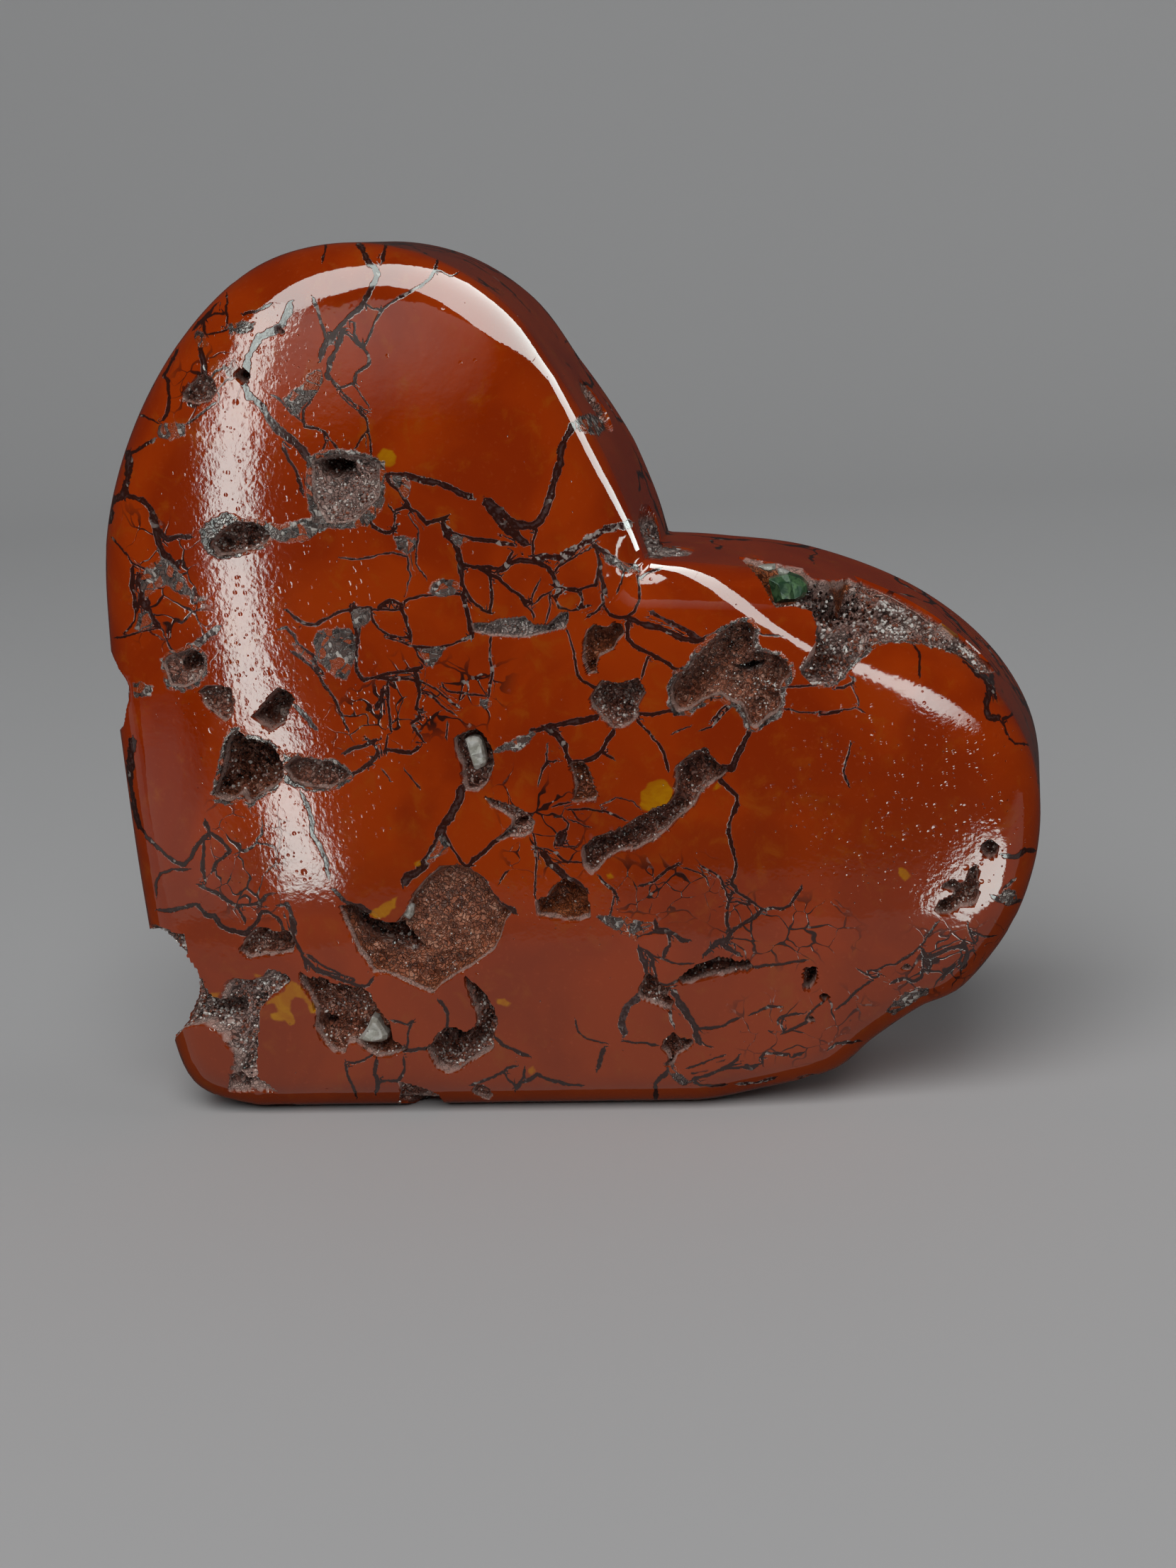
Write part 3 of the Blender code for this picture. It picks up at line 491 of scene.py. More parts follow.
# Markings of the polished face, read as pixels of the camera's frame: veins with their whole width, and
# the outlines of the patches of fine cement and of ochre between the red fragments.
DARK_VEINS = [
    (3, [(460, 345), (455, 367)]),
    (8, [(507, 342), (517, 365), (521, 372), (530, 378), (532, 387), (527, 402), (517, 420), (510, 432),
     (495, 445), (480, 460), (465, 480), (457, 490), (452, 505)]),
    (3, [(320, 417), (319, 437), (321, 456)]), (4, [(345, 442), (362, 439), (380, 430)]),
    (4, [(305, 430), (285, 452), (274, 464)]), (4, [(286, 452), (290, 472)]),
    (3, [(286, 451), (305, 442), (319, 442)]), (3, [(290, 472), (305, 470), (319, 465)]),
    (9, [(283, 490), (287, 512), (289, 530)]),
    (5, [(250, 495), (240, 515), (231, 530), (237, 537), (238, 556), (240, 562), (235, 585), (230, 592)]),
    (3, [(200, 586), (222, 596)]), (5, [(216, 621), (202, 630), (192, 637), (179, 640)]),
    (10, [(180, 640), (183, 650), (181, 665), (178, 680), (175, 690), (172, 700), (160, 705), (155, 715),
     (154, 735)]), (3, [(265, 597), (282, 585), (302, 570)]),
    (11, [(355, 560), (370, 575), (380, 590), (392, 607), (405, 617), (425, 632), (432, 645)]),
    (3, [(385, 557), (395, 565), (410, 582), (428, 595)]),
    (8, [(462, 530), (465, 510), (475, 492), (480, 480), (484, 467)]),
    (4, [(442, 422), (450, 445), (457, 465), (462, 480)]),
    (4, [(482, 467), (497, 477), (507, 487), (516, 495)]),
    (4, [(500, 455), (500, 470), (505, 482), (512, 490), (520, 502), (522, 514), (502, 527), (500, 540),
     (480, 547), (475, 546), (465, 532), (463, 520)]),
    (2, [(480, 557), (492, 570), (507, 580), (520, 572), (500, 545)]),
    (4, [(507, 580), (517, 592), (520, 607), (523, 625), (524, 647)]),
    (3, [(520, 607), (510, 617), (503, 630)]), (2, [(465, 532), (480, 550), (500, 570), (520, 580)]),
    (5, [(452, 540), (440, 562), (429, 577), (427, 592), (430, 600)]),
    (4, [(430, 602), (445, 604), (460, 612), (470, 625), (475, 632)]),
    (3, [(457, 615), (460, 625), (455, 635)]),
    (5, [(400, 632), (407, 647), (417, 662), (422, 680), (427, 695)]),
    (4, [(432, 645), (436, 660), (435, 680)]), (5, [(545, 344), (542, 357), (540, 367)]),
    (4, [(617, 369), (614, 380), (605, 395), (590, 405), (572, 415), (555, 425), (542, 435), (535, 442),
     (530, 452), (525, 465), (519, 480), (514, 490)]), (3, [(520, 432), (530, 436), (536, 438)]),
    (2, [(614, 381), (620, 382), (635, 390), (645, 386)]),
    (11, [(807, 602), (797, 620), (790, 635), (790, 652), (785, 670), (777, 697), (770, 720), (762, 735),
     (750, 742), (727, 740), (710, 725), (690, 707)]),
    (7, [(180, 700), (200, 705), (212, 717), (217, 730), (222, 745), (230, 757), (237, 762), (250, 757),
     (267, 757)]), (10, [(215, 722), (220, 750), (224, 765), (230, 780), (240, 790), (250, 800)]),
    (3, [(160, 760), (177, 780), (187, 795), (202, 802)]),
    (6, [(187, 802), (186, 825), (190, 845), (192, 860)]),
    (12, [(197, 815), (202, 835), (205, 852), (210, 865), (215, 875), (222, 880)]),
    (3, [(165, 900), (187, 895), (200, 890), (227, 886), (232, 897), (240, 915), (247, 922)]),
    (3, [(192, 862), (190, 877), (177, 892)]),
    (5, [(405, 862), (417, 872), (430, 880), (445, 881), (462, 872), (475, 865), (490, 860), (520, 856)]),
    (5, [(395, 887), (405, 886), (415, 897), (420, 910), (430, 917), (442, 925), (447, 940), (455, 950)]),
    (4, [(412, 920), (440, 940), (460, 970), (475, 990), (482, 1010), (490, 1030)]),
    (10, [(547, 671), (580, 672), (600, 679), (615, 681), (632, 687), (647, 694), (662, 700)]),
    (12, [(687, 710), (697, 722), (705, 735), (715, 747), (727, 755), (740, 765)]),
    (4, [(757, 750), (752, 765), (752, 785)]), (6, [(545, 675), (560, 690), (572, 705), (577, 715)]),
    (5, [(560, 720), (572, 715), (584, 721)]), (4, [(550, 715), (557, 724), (557, 740), (555, 750)]),
    (6, [(520, 715), (517, 727), (527, 742), (540, 750), (550, 752), (557, 745)]),
    (2, [(577, 727), (582, 737), (590, 747)]),
    (5, [(590, 725), (595, 732), (602, 740), (612, 735), (625, 732), (631, 729)]),
    (6, [(625, 732), (627, 742), (637, 752), (652, 757), (667, 761), (700, 764), (722, 769)]),
    (7, [(625, 740), (630, 755), (640, 767), (647, 777), (649, 795), (652, 815), (651, 825)]),
    (5, [(652, 797), (670, 800), (690, 800), (705, 804), (715, 795), (722, 780)]),
    (5, [(677, 802), (690, 810), (705, 817), (717, 830), (730, 837), (740, 847), (750, 850)]),
    (4, [(690, 805), (692, 825), (695, 847), (690, 862)]),
    (8, [(705, 805), (720, 795), (735, 790), (755, 792), (772, 800), (780, 810), (785, 822), (790, 835),
     (785, 840)]), (3, [(760, 820), (750, 845)]), (4, [(732, 837), (740, 852), (750, 862), (752, 870)]),
    (3, [(750, 855), (765, 840), (777, 835)]), (3, [(775, 840), (776, 857), (770, 877)]),
    (4, [(780, 842), (790, 857), (805, 862), (820, 857), (830, 855)]),
    (3, [(785, 840), (797, 832), (815, 835), (822, 845), (817, 857)]),
    (4, [(565, 852), (577, 845), (600, 840), (652, 837)]),
    (5, [(565, 857), (572, 872), (577, 890), (580, 905)]),
    (6, [(653, 837), (657, 857), (660, 872), (665, 892), (665, 898)]),
    (4, [(585, 912), (610, 915), (630, 911), (647, 905), (665, 898)]),
    (6, [(535, 855), (550, 847), (567, 852)]),
    (3, [(482, 787), (502, 790), (525, 786), (540, 781), (552, 780), (572, 784)]),
    (3, [(575, 784), (576, 802), (580, 812), (575, 825)]),
    (3, [(590, 752), (587, 780), (587, 795), (600, 815)]),
    (5, [(652, 825), (665, 847), (675, 855), (682, 862), (692, 864)]),
    (4, [(660, 857), (662, 875), (670, 885), (690, 885)]),
    (4, [(692, 900), (690, 917), (692, 935), (695, 950), (692, 965), (690, 982)]),
    (4, [(800, 890), (805, 905), (810, 922), (812, 937), (815, 952), (822, 962), (840, 970)]),
    (3, [(585, 912), (590, 925), (600, 937)]),
    (4, [(522, 860), (525, 875), (535, 887), (550, 897), (575, 900)]),
    (3, [(522, 860), (545, 860), (565, 860)]), (8, [(500, 857), (500, 875), (505, 890), (502, 907)]),
    (5, [(505, 902), (502, 927), (504, 947), (512, 960), (530, 955), (550, 950), (575, 947), (595, 942)]),
    (3, [(547, 900), (565, 905), (580, 912)]), (4, [(530, 956), (552, 959), (575, 957), (587, 960)]),
    (5, [(587, 950), (590, 965), (592, 982), (587, 1000), (595, 1005), (590, 1015), (582, 1020)]),
    (4, [(547, 965), (547, 990), (550, 1012), (552, 1030)]), (8, [(540, 975), (537, 990), (532, 997)]),
    (3, [(600, 977), (615, 987), (627, 1000), (640, 1007)]),
    (3, [(595, 962), (615, 972), (630, 985), (637, 992), (647, 997)]),
    (3, [(625, 967), (630, 975), (647, 977), (670, 980), (687, 982)]),
    (8, [(750, 1032), (770, 1027), (792, 1022), (817, 1017), (842, 1012)]),
    (8, [(839, 770), (847, 775), (862, 785), (877, 797), (897, 800)]),
    (6, [(840, 772), (845, 790), (847, 810), (852, 830), (855, 837)]),
    (4, [(845, 800), (840, 825), (817, 832), (795, 830), (780, 825)]),
    (3, [(880, 805), (877, 820), (870, 837)]),
    (4, [(900, 812), (902, 830), (902, 847), (895, 862), (885, 870), (872, 872), (860, 867), (852, 855),
     (850, 840)]), (4, [(902, 815), (917, 807), (930, 802)]),
    (8, [(887, 872), (905, 880), (925, 885), (942, 890), (960, 900), (980, 905), (995, 902), (1010, 895),
     (1020, 887)]),
    (6, [(885, 880), (885, 900), (895, 912), (915, 922), (935, 932), (950, 942), (962, 947)]),
    (4, [(915, 922), (910, 940), (905, 955)]), (6, [(900, 1007), (920, 1008), (950, 1002)]),
    (3, [(1005, 1015), (1017, 1002), (1030, 992)]), (3, [(1105, 970), (1140, 967), (1170, 967)]),
    (2, [(1105, 1000), (1130, 1005), (1150, 1005), (1170, 1004), (1195, 1000), (1210, 999), (1217, 1004)]),
    (3, [(1155, 1009), (1170, 1007), (1185, 1004)]), (3, [(780, 810), (787, 800), (820, 780), (837, 772)]),
    (3, [(820, 837), (822, 855)]), (4, [(830, 870), (845, 860), (850, 852)]),
    (3, [(1065, 890), (1075, 895), (1100, 897)]), (11, [(187, 1047), (185, 1067), (183, 1085)]),
    (8, [(183, 1085), (184, 1105), (188, 1130), (192, 1150), (198, 1167)]),
    (5, [(198, 1167), (208, 1182), (222, 1195), (235, 1207), (247, 1216), (260, 1220)]),
    (6, [(260, 1220), (270, 1210), (275, 1197), (285, 1185), (295, 1175), (290, 1160)]),
    (4, [(265, 1227), (245, 1227), (227, 1232), (220, 1245), (220, 1262)]),
    (5, [(225, 1284), (240, 1285), (260, 1280), (275, 1275)]),
    (5, [(287, 1185), (287, 1205), (286, 1225), (290, 1242)]),
    (5, [(300, 1227), (305, 1217), (315, 1210), (325, 1200), (320, 1195), (310, 1185), (300, 1177)]),
    (5, [(282, 1250), (295, 1255), (310, 1262), (320, 1270), (332, 1277), (340, 1287), (345, 1297)]),
    (4, [(332, 1277), (352, 1277), (370, 1272)]),
    (7, [(280, 1277), (290, 1290), (302, 1292), (310, 1305), (322, 1312), (340, 1316), (350, 1317)]),
    (5, [(350, 1312), (360, 1305), (370, 1285), (380, 1287), (392, 1295), (400, 1312)]),
    (5, [(395, 1277), (405, 1275), (410, 1292), (412, 1312), (417, 1330), (427, 1347), (432, 1365)]),
    (6, [(487, 1062), (497, 1057), (512, 1052), (530, 1045)]),
    (6, [(492, 1095), (507, 1087), (520, 1077), (530, 1070)]),
    (6, [(472, 1257), (482, 1267), (490, 1275), (510, 1279), (530, 1292)]),
    (8, [(772, 1030), (785, 1037), (797, 1052), (800, 1067), (805, 1077), (817, 1075)]),
    (6, [(820, 1075), (837, 1070), (847, 1062), (855, 1047), (865, 1032)]),
    (3, [(772, 1052), (770, 1067), (772, 1075), (785, 1074)]), (4, [(772, 1075), (765, 1087), (760, 1105)]),
    (12, [(652, 1112), (647, 1130), (640, 1142), (632, 1157), (622, 1172), (617, 1187), (610, 1200),
     (600, 1215), (590, 1230), (577, 1235), (572, 1245)]),
    (4, [(625, 1172), (635, 1192), (645, 1207), (655, 1222), (665, 1225)]),
    (6, [(660, 1222), (670, 1212), (685, 1200), (695, 1190), (710, 1180), (720, 1167), (730, 1155)]),
    (3, [(752, 1177), (756, 1192), (755, 1205)]), (3, [(755, 1197), (767, 1197), (785, 1202)]),
    (3, [(757, 1210), (756, 1230), (755, 1250), (755, 1267)]),
    (10, [(767, 1205), (775, 1217), (790, 1230), (797, 1237), (812, 1245), (825, 1255)]),
    (3, [(782, 1192), (787, 1175), (800, 1170), (802, 1162), (792, 1152), (785, 1152)]),
    (9, [(790, 1190), (796, 1178)]), (3, [(785, 1192), (797, 1194), (810, 1195)]),
    (3, [(787, 1207), (797, 1215), (812, 1216), (835, 1217)]), (2, [(805, 1157), (817, 1162), (830, 1167)]),
    (3, [(782, 1137), (802, 1132)]), (3, [(802, 1142), (830, 1142), (855, 1145), (882, 1157)]),
    (8, [(665, 1230), (680, 1240), (692, 1260), (705, 1275), (725, 1287)]),
    (3, [(705, 1245), (710, 1235), (715, 1230)]),
    (4, [(517, 1042), (530, 1052), (535, 1062), (527, 1070), (522, 1080)]),
    (6, [(545, 1057), (562, 1060), (580, 1062), (590, 1055)]), (2, [(540, 1087), (550, 1100)]),
    (3, [(572, 1087), (590, 1110)]), (3, [(547, 1040), (542, 1062)]),
    (5, [(587, 1030), (580, 1020), (592, 1012), (595, 1002)]), (4, [(587, 1032), (597, 1045)]),
    (3, [(630, 1040), (632, 1022)]), (3, [(990, 1030), (1005, 1025), (1020, 1007), (1032, 995)]),
    (8, [(1020, 1082), (1032, 1086), (1037, 1072), (1047, 1055), (1055, 1037), (1060, 1025)]),
    (7, [(1017, 1101), (1027, 1112), (1040, 1122), (1040, 1135), (1035, 1145)]),
    (5, [(1035, 1145), (1030, 1160), (1027, 1175), (1032, 1190), (1035, 1205), (1039, 1220), (1037, 1232),
     (1032, 1247), (1037, 1252)]),
    (4, [(1037, 1257), (1050, 1265), (1065, 1275), (1075, 1283), (1090, 1281), (1105, 1282), (1115, 1277),
     (1122, 1264), (1130, 1253)]),
    (6, [(1075, 1285), (1060, 1297), (1045, 1305), (1032, 1315), (1027, 1322), (1017, 1330), (1005, 1335),
     (995, 1347)]), (5, [(1027, 1307), (1025, 1295), (1027, 1275), (1032, 1260)]),
    (3, [(1032, 1272), (1042, 1272), (1057, 1277)]),
    (3, [(990, 1222), (1005, 1230), (1017, 1240), (1025, 1257), (1027, 1272)]),
    (2, [(965, 1225), (980, 1229), (995, 1235), (1000, 1247)]),
    (4, [(905, 1250), (920, 1245), (930, 1237), (945, 1225), (955, 1220)]),
    (4, [(845, 1237), (857, 1250), (867, 1257), (872, 1267)]), (3, [(867, 1257), (865, 1275), (860, 1295)]),
    (6, [(925, 1302), (927, 1312), (940, 1311), (950, 1317), (960, 1325), (970, 1327)]),
    (3, [(905, 1320), (925, 1315), (942, 1317), (944, 1330)]), (4, [(944, 1315), (945, 1335), (937, 1347)]),
    (4, [(900, 1017), (912, 1030), (925, 1045), (935, 1060), (940, 1075), (942, 1085)]),
    (3, [(850, 1062), (865, 1070)]), (2, [(950, 1035), (972, 1025)]),
    (2, [(845, 1137), (870, 1125), (895, 1132), (902, 1140)]),
    (4, [(406, 1275), (412, 1290), (416, 1305), (417, 1318)]),
    (5, [(425, 1347), (435, 1357), (447, 1370), (465, 1377), (490, 1385), (510, 1392), (520, 1390),
     (525, 1382)]), (3, [(435, 1347), (452, 1360), (465, 1367), (485, 1377), (500, 1382)]),
    (3, [(555, 1440), (575, 1445), (582, 1440), (576, 1455), (575, 1475)]),
    (4, [(487, 1500), (490, 1517), (497, 1530), (502, 1545)]),
    (6, [(531, 1497), (529, 1512), (534, 1527), (531, 1540)]),
    (4, [(570, 1495), (572, 1507), (567, 1517), (562, 1525), (540, 1525), (532, 1527)]),
    (5, [(503, 1470), (517, 1474), (530, 1474), (542, 1478), (555, 1482), (580, 1482), (600, 1479)]),
    (3, [(490, 1498), (500, 1500), (515, 1495), (525, 1488)]),
    (5, [(621, 1413), (627, 1420), (632, 1430), (631, 1442), (631, 1450)]),
    (5, [(700, 1465), (707, 1472), (720, 1479), (735, 1485), (745, 1490)]),
    (4, [(667, 1530), (685, 1524), (700, 1517), (710, 1512), (715, 1507), (727, 1504)]),
    (3, [(711, 1512), (717, 1522), (725, 1530), (729, 1536)]),
    (5, [(729, 1536), (735, 1527), (742, 1525), (750, 1522), (756, 1517), (760, 1515), (765, 1520),
     (780, 1524), (795, 1529)]), (3, [(795, 1529), (810, 1531), (820, 1531)]),
    (4, [(740, 1510), (739, 1520), (730, 1530)]),
    (8, [(902, 1340), (905, 1350), (910, 1360), (912, 1370), (912, 1377)]),
    (5, [(912, 1342), (920, 1352), (922, 1365), (926, 1377)]),
    (3, [(912, 1342), (927, 1351), (940, 1355), (955, 1360), (975, 1360)]),
    (3, [(880, 1469), (902, 1471), (925, 1474)]),
    (8, [(950, 1400), (960, 1415), (970, 1430), (977, 1445), (980, 1447)]),
    (6, [(925, 1550), (925, 1530), (930, 1522), (940, 1515), (945, 1507)]),
    (7, [(851, 1482), (847, 1495), (844, 1505)]), (2, [(812, 1440), (815, 1455), (827, 1465), (855, 1472)]),
    (5, [(944, 1335), (940, 1337), (935, 1350)]),
    (8, [(1005, 1337), (1012, 1330), (1020, 1327), (1027, 1325)]),
    (6, [(1020, 1332), (1030, 1340), (1042, 1346)]),
    (4, [(1065, 1365), (1080, 1361), (1092, 1362), (1105, 1360), (1120, 1357), (1135, 1355)]),
    (4, [(930, 1387), (942, 1390), (955, 1384)]),
    (3, [(1160, 1414), (1150, 1422), (1142, 1430), (1137, 1437)]),
    (4, [(1137, 1442), (1125, 1449), (1110, 1455), (1105, 1457)]),
    (4, [(1105, 1435), (1115, 1431), (1125, 1430)]), (3, [(1105, 1435), (1102, 1445), (1105, 1455)]),
    (3, [(1060, 1431), (1070, 1426), (1085, 1420), (1100, 1421)]),
    (4, [(984, 1450), (1000, 1451), (1015, 1449), (1030, 1442), (1040, 1437)]),
    (10, [(957, 1415), (967, 1427), (975, 1440), (980, 1447), (982, 1457), (985, 1467)]),
    (3, [(985, 1467), (995, 1475), (1002, 1477)]),
    (3, [(972, 1507), (992, 1500), (1010, 1492), (1020, 1490)]),
    (4, [(980, 1521), (1000, 1517), (1015, 1510), (1030, 1502), (1040, 1495), (1042, 1490)]),
    (4, [(1025, 1507), (1040, 1506), (1055, 1505)]), (6, [(1052, 1504), (1060, 1507), (1068, 1503)]),
    (4, [(977, 1526), (990, 1531), (1005, 1532), (1022, 1530)]),
    (4, [(1075, 1490), (1080, 1485), (1092, 1486), (1105, 1487), (1110, 1487)]),
    (5, [(1121, 1489), (1130, 1486)]), (3, [(1075, 1490), (1077, 1500)]),
    (4, [(1170, 1479), (1180, 1472), (1195, 1471), (1212, 1469)]),
    (4, [(1182, 1422), (1192, 1415), (1200, 1407), (1207, 1400), (1217, 1392), (1227, 1385)]),
    (3, [(1212, 1369), (1222, 1375), (1225, 1370), (1237, 1369), (1250, 1362), (1265, 1360)]),
    (3, [(1224, 1373), (1230, 1380), (1240, 1377), (1237, 1370)]),
    (4, [(1265, 1360), (1272, 1355), (1282, 1350), (1287, 1345)]),
    (3, [(1287, 1345), (1295, 1337), (1302, 1330), (1307, 1322), (1315, 1312), (1322, 1302)]),
    (4, [(1180, 971), (1190, 970), (1202, 964), (1206, 959), (1202, 955)]),
    (2, [(1202, 967), (1205, 975), (1210, 985), (1212, 995)]),
    (3, [(1290, 912), (1296, 920), (1298, 930), (1297, 940), (1297, 952)]),
    (9, [(1362, 932), (1372, 942), (1380, 950), (1390, 955), (1395, 965), (1395, 977), (1392, 992),
     (1392, 1005), (1395, 1012), (1407, 1012)]), (5, [(1399, 950), (1401, 970), (1405, 985)]),
    (4, [(1415, 1015), (1425, 1010), (1435, 1000), (1440, 992)]),
    (3, [(1410, 1015), (1416, 1022), (1421, 1035)]),
    (3, [(1425, 1042), (1432, 1049), (1442, 1050), (1460, 1050)]),
    (3, [(1200, 1050), (1197, 1065), (1192, 1077), (1190, 1090), (1197, 1107)]),
    (7, [(1417, 1207), (1430, 1209), (1437, 1207), (1445, 1200), (1457, 1200)]),
    (4, [(1417, 1252), (1425, 1245), (1430, 1242)]),
    (6, [(1402, 1265), (1412, 1272), (1422, 1275), (1437, 1271)]),
    (6, [(1302, 1342), (1307, 1352), (1320, 1347), (1330, 1342), (1345, 1337), (1357, 1337), (1360, 1330)]),
    (5, [(1360, 1332), (1365, 1345), (1362, 1355), (1357, 1365)]),
    (4, [(1302, 1352), (1302, 1365), (1310, 1372), (1315, 1360), (1315, 1352)]),
    (4, [(1347, 1362), (1337, 1372), (1330, 1380)]), (3, [(1365, 1305), (1370, 1320), (1375, 1330)]),
    (3, [(1372, 1315), (1390, 1322), (1402, 1320)]),
    (4, [(1260, 1385), (1275, 1380), (1290, 1385), (1300, 1378), (1302, 1366)])]
GREY_VEINS = [
    (10, [(410, 430), (400, 455), (385, 468), (365, 475), (350, 505), (345, 540), (352, 560)]),
    (8, [(417, 997), (430, 1010), (445, 1027)]), (6, [(920, 865), (940, 875), (960, 885), (987, 900)]),
    (6, [(425, 1120), (435, 1140), (440, 1160), (440, 1177), (452, 1195), (460, 1215), (462, 1235)]),
    (10, [(900, 1405), (892, 1415), (885, 1420), (881, 1430), (877, 1442), (880, 1457)])]
PALE_VEINS = [
    (10, [(270, 915), (282, 905), (295, 895), (305, 887)]),
    (10, [(755, 787), (775, 785), (790, 787), (812, 775), (830, 762), (845, 752), (857, 746), (875, 742),
     (887, 739)]), (4, [(945, 1427), (947, 1440), (950, 1447)]),
    (4, [(1042, 1529), (1070, 1527), (1092, 1520)])]
MATRIX_PATCHES = [
    [(320, 456), (345, 453), (360, 456), (356, 468), (335, 473), (322, 472)],
    [(274, 467), (284, 466), (290, 474), (294, 485), (290, 490), (280, 490), (275, 482)],
    [(222, 600), (240, 596), (262, 598), (263, 615), (240, 620), (221, 618)],
    [(412, 552), (430, 540), (437, 525), (452, 522), (457, 537), (445, 555), (427, 575), (422, 590),
     (410, 582), (397, 562)],
    [(812, 590), (830, 583), (850, 590), (855, 605), (845, 615), (825, 612), (812, 605)],
    [(550, 672), (575, 673), (580, 685), (577, 700), (572, 705), (560, 690)],
    [(205, 800), (225, 787), (235, 790), (247, 800), (262, 820), (277, 842), (290, 847), (285, 852),
     (265, 845), (247, 835), (235, 825), (222, 830), (205, 847), (197, 825)],
    [(195, 865), (205, 862), (215, 875), (215, 885), (200, 890), (190, 887)],
    [(187, 962), (200, 963), (217, 968), (213, 982), (190, 985)],
    [(282, 745), (300, 730), (320, 722), (340, 730), (370, 735), (395, 740), (380, 770), (340, 785),
     (310, 790), (290, 780), (283, 765)],
    [(385, 742), (395, 740), (417, 735), (440, 730), (447, 715), (443, 700), (450, 690), (470, 720),
     (490, 735), (480, 742), (462, 745), (450, 752), (437, 760), (425, 765), (400, 765), (385, 760)],
    [(434, 645), (455, 636), (490, 634), (520, 640), (543, 652), (545, 690), (540, 715), (520, 742),
     (490, 747), (455, 745), (435, 720), (432, 680)],
    [(412, 905), (422, 910), (440, 927), (445, 940), (435, 932), (420, 920)],
    [(447, 890), (462, 885), (497, 887), (502, 900), (500, 935), (490, 960), (475, 955), (455, 940),
     (445, 927), (442, 905)], [(497, 860), (520, 857), (525, 875), (515, 885), (500, 885)],
    [(635, 752), (652, 757), (665, 762), (652, 767), (647, 775), (640, 765)],
    [(607, 820), (625, 815), (645, 820), (650, 830), (640, 838), (620, 842), (605, 838)],
    [(555, 757), (572, 755), (587, 762), (587, 775), (575, 782), (560, 775)],
    [(590, 915), (625, 913), (632, 912), (618, 930), (610, 942), (602, 938), (595, 922)],
    [(677, 985), (692, 985), (695, 995), (685, 1000), (675, 997)],
    [(850, 780), (865, 785), (880, 795), (897, 800), (905, 805), (900, 812), (885, 808), (868, 800),
     (855, 792)],
    [(907, 740), (915, 732), (927, 722), (930, 740), (955, 747), (962, 770), (955, 780), (930, 790),
     (915, 787), (910, 765)],
    [(625, 1175), (635, 1192), (630, 1202), (615, 1212), (602, 1220), (600, 1215), (610, 1200),
     (617, 1187)],
    [(695, 1060), (710, 1050), (730, 1040), (752, 1032), (760, 1032), (750, 1042), (740, 1055), (727, 1062),
     (712, 1057), (700, 1065)],
    [(862, 1290), (885, 1295), (905, 1299), (925, 1302), (910, 1315), (897, 1327), (875, 1317), (850, 1302),
     (835, 1292)],
    [(225, 932), (235, 920), (255, 914), (275, 908), (292, 925), (293, 950), (280, 968), (260, 976),
     (235, 972)],
    [(320, 1030), (335, 1024), (350, 1036), (368, 1040), (385, 1046), (400, 1062), (418, 1062), (440, 1068),
     (470, 1070), (492, 1082), (500, 1096), (488, 1108), (466, 1117), (440, 1117), (412, 1110), (400, 1104),
     (385, 1118), (366, 1128), (352, 1141), (340, 1128), (325, 1138), (303, 1132), (296, 1120), (305, 1092),
     (310, 1060)],
    [(940, 972), (950, 946), (968, 938), (975, 922), (992, 904), (1010, 890), (1027, 878), (1046, 870),
     (1062, 874), (1072, 890), (1070, 910), (1085, 916), (1105, 922), (1118, 935), (1122, 955), (1110, 970),
     (1108, 992), (1102, 1012), (1082, 1022), (1068, 1034), (1052, 1030), (1045, 1010), (1038, 1000),
     (1025, 996), (1015, 988), (1005, 990), (990, 998), (974, 1008), (952, 1010), (942, 995)],
    [(1086, 846), (1122, 850), (1150, 858), (1160, 880), (1158, 905), (1145, 925), (1132, 942), (1140, 956),
     (1155, 970), (1172, 971), (1192, 957), (1202, 943), (1220, 926), (1238, 911), (1275, 905), (1300, 911),
     (1340, 921), (1362, 934), (1380, 951), (1412, 948), (1400, 936), (1383, 918), (1358, 902), (1340, 900),
     (1324, 886), (1318, 868), (1290, 838), (1260, 814), (1236, 797), (1224, 803), (1212, 824), (1184, 822),
     (1144, 820)], [(370, 1376), (380, 1366), (392, 1372), (398, 1380), (390, 1393), (378, 1390)],
    [(936, 1500), (946, 1496), (958, 1508), (968, 1520), (978, 1526), (968, 1532), (955, 1528),
     (944, 1516)],
    [(1262, 1432), (1285, 1416), (1310, 1402), (1312, 1396), (1296, 1392), (1280, 1398), (1262, 1410),
     (1248, 1428)], [(1408, 1262), (1420, 1252), (1432, 1256), (1438, 1270), (1424, 1278), (1410, 1272)]]
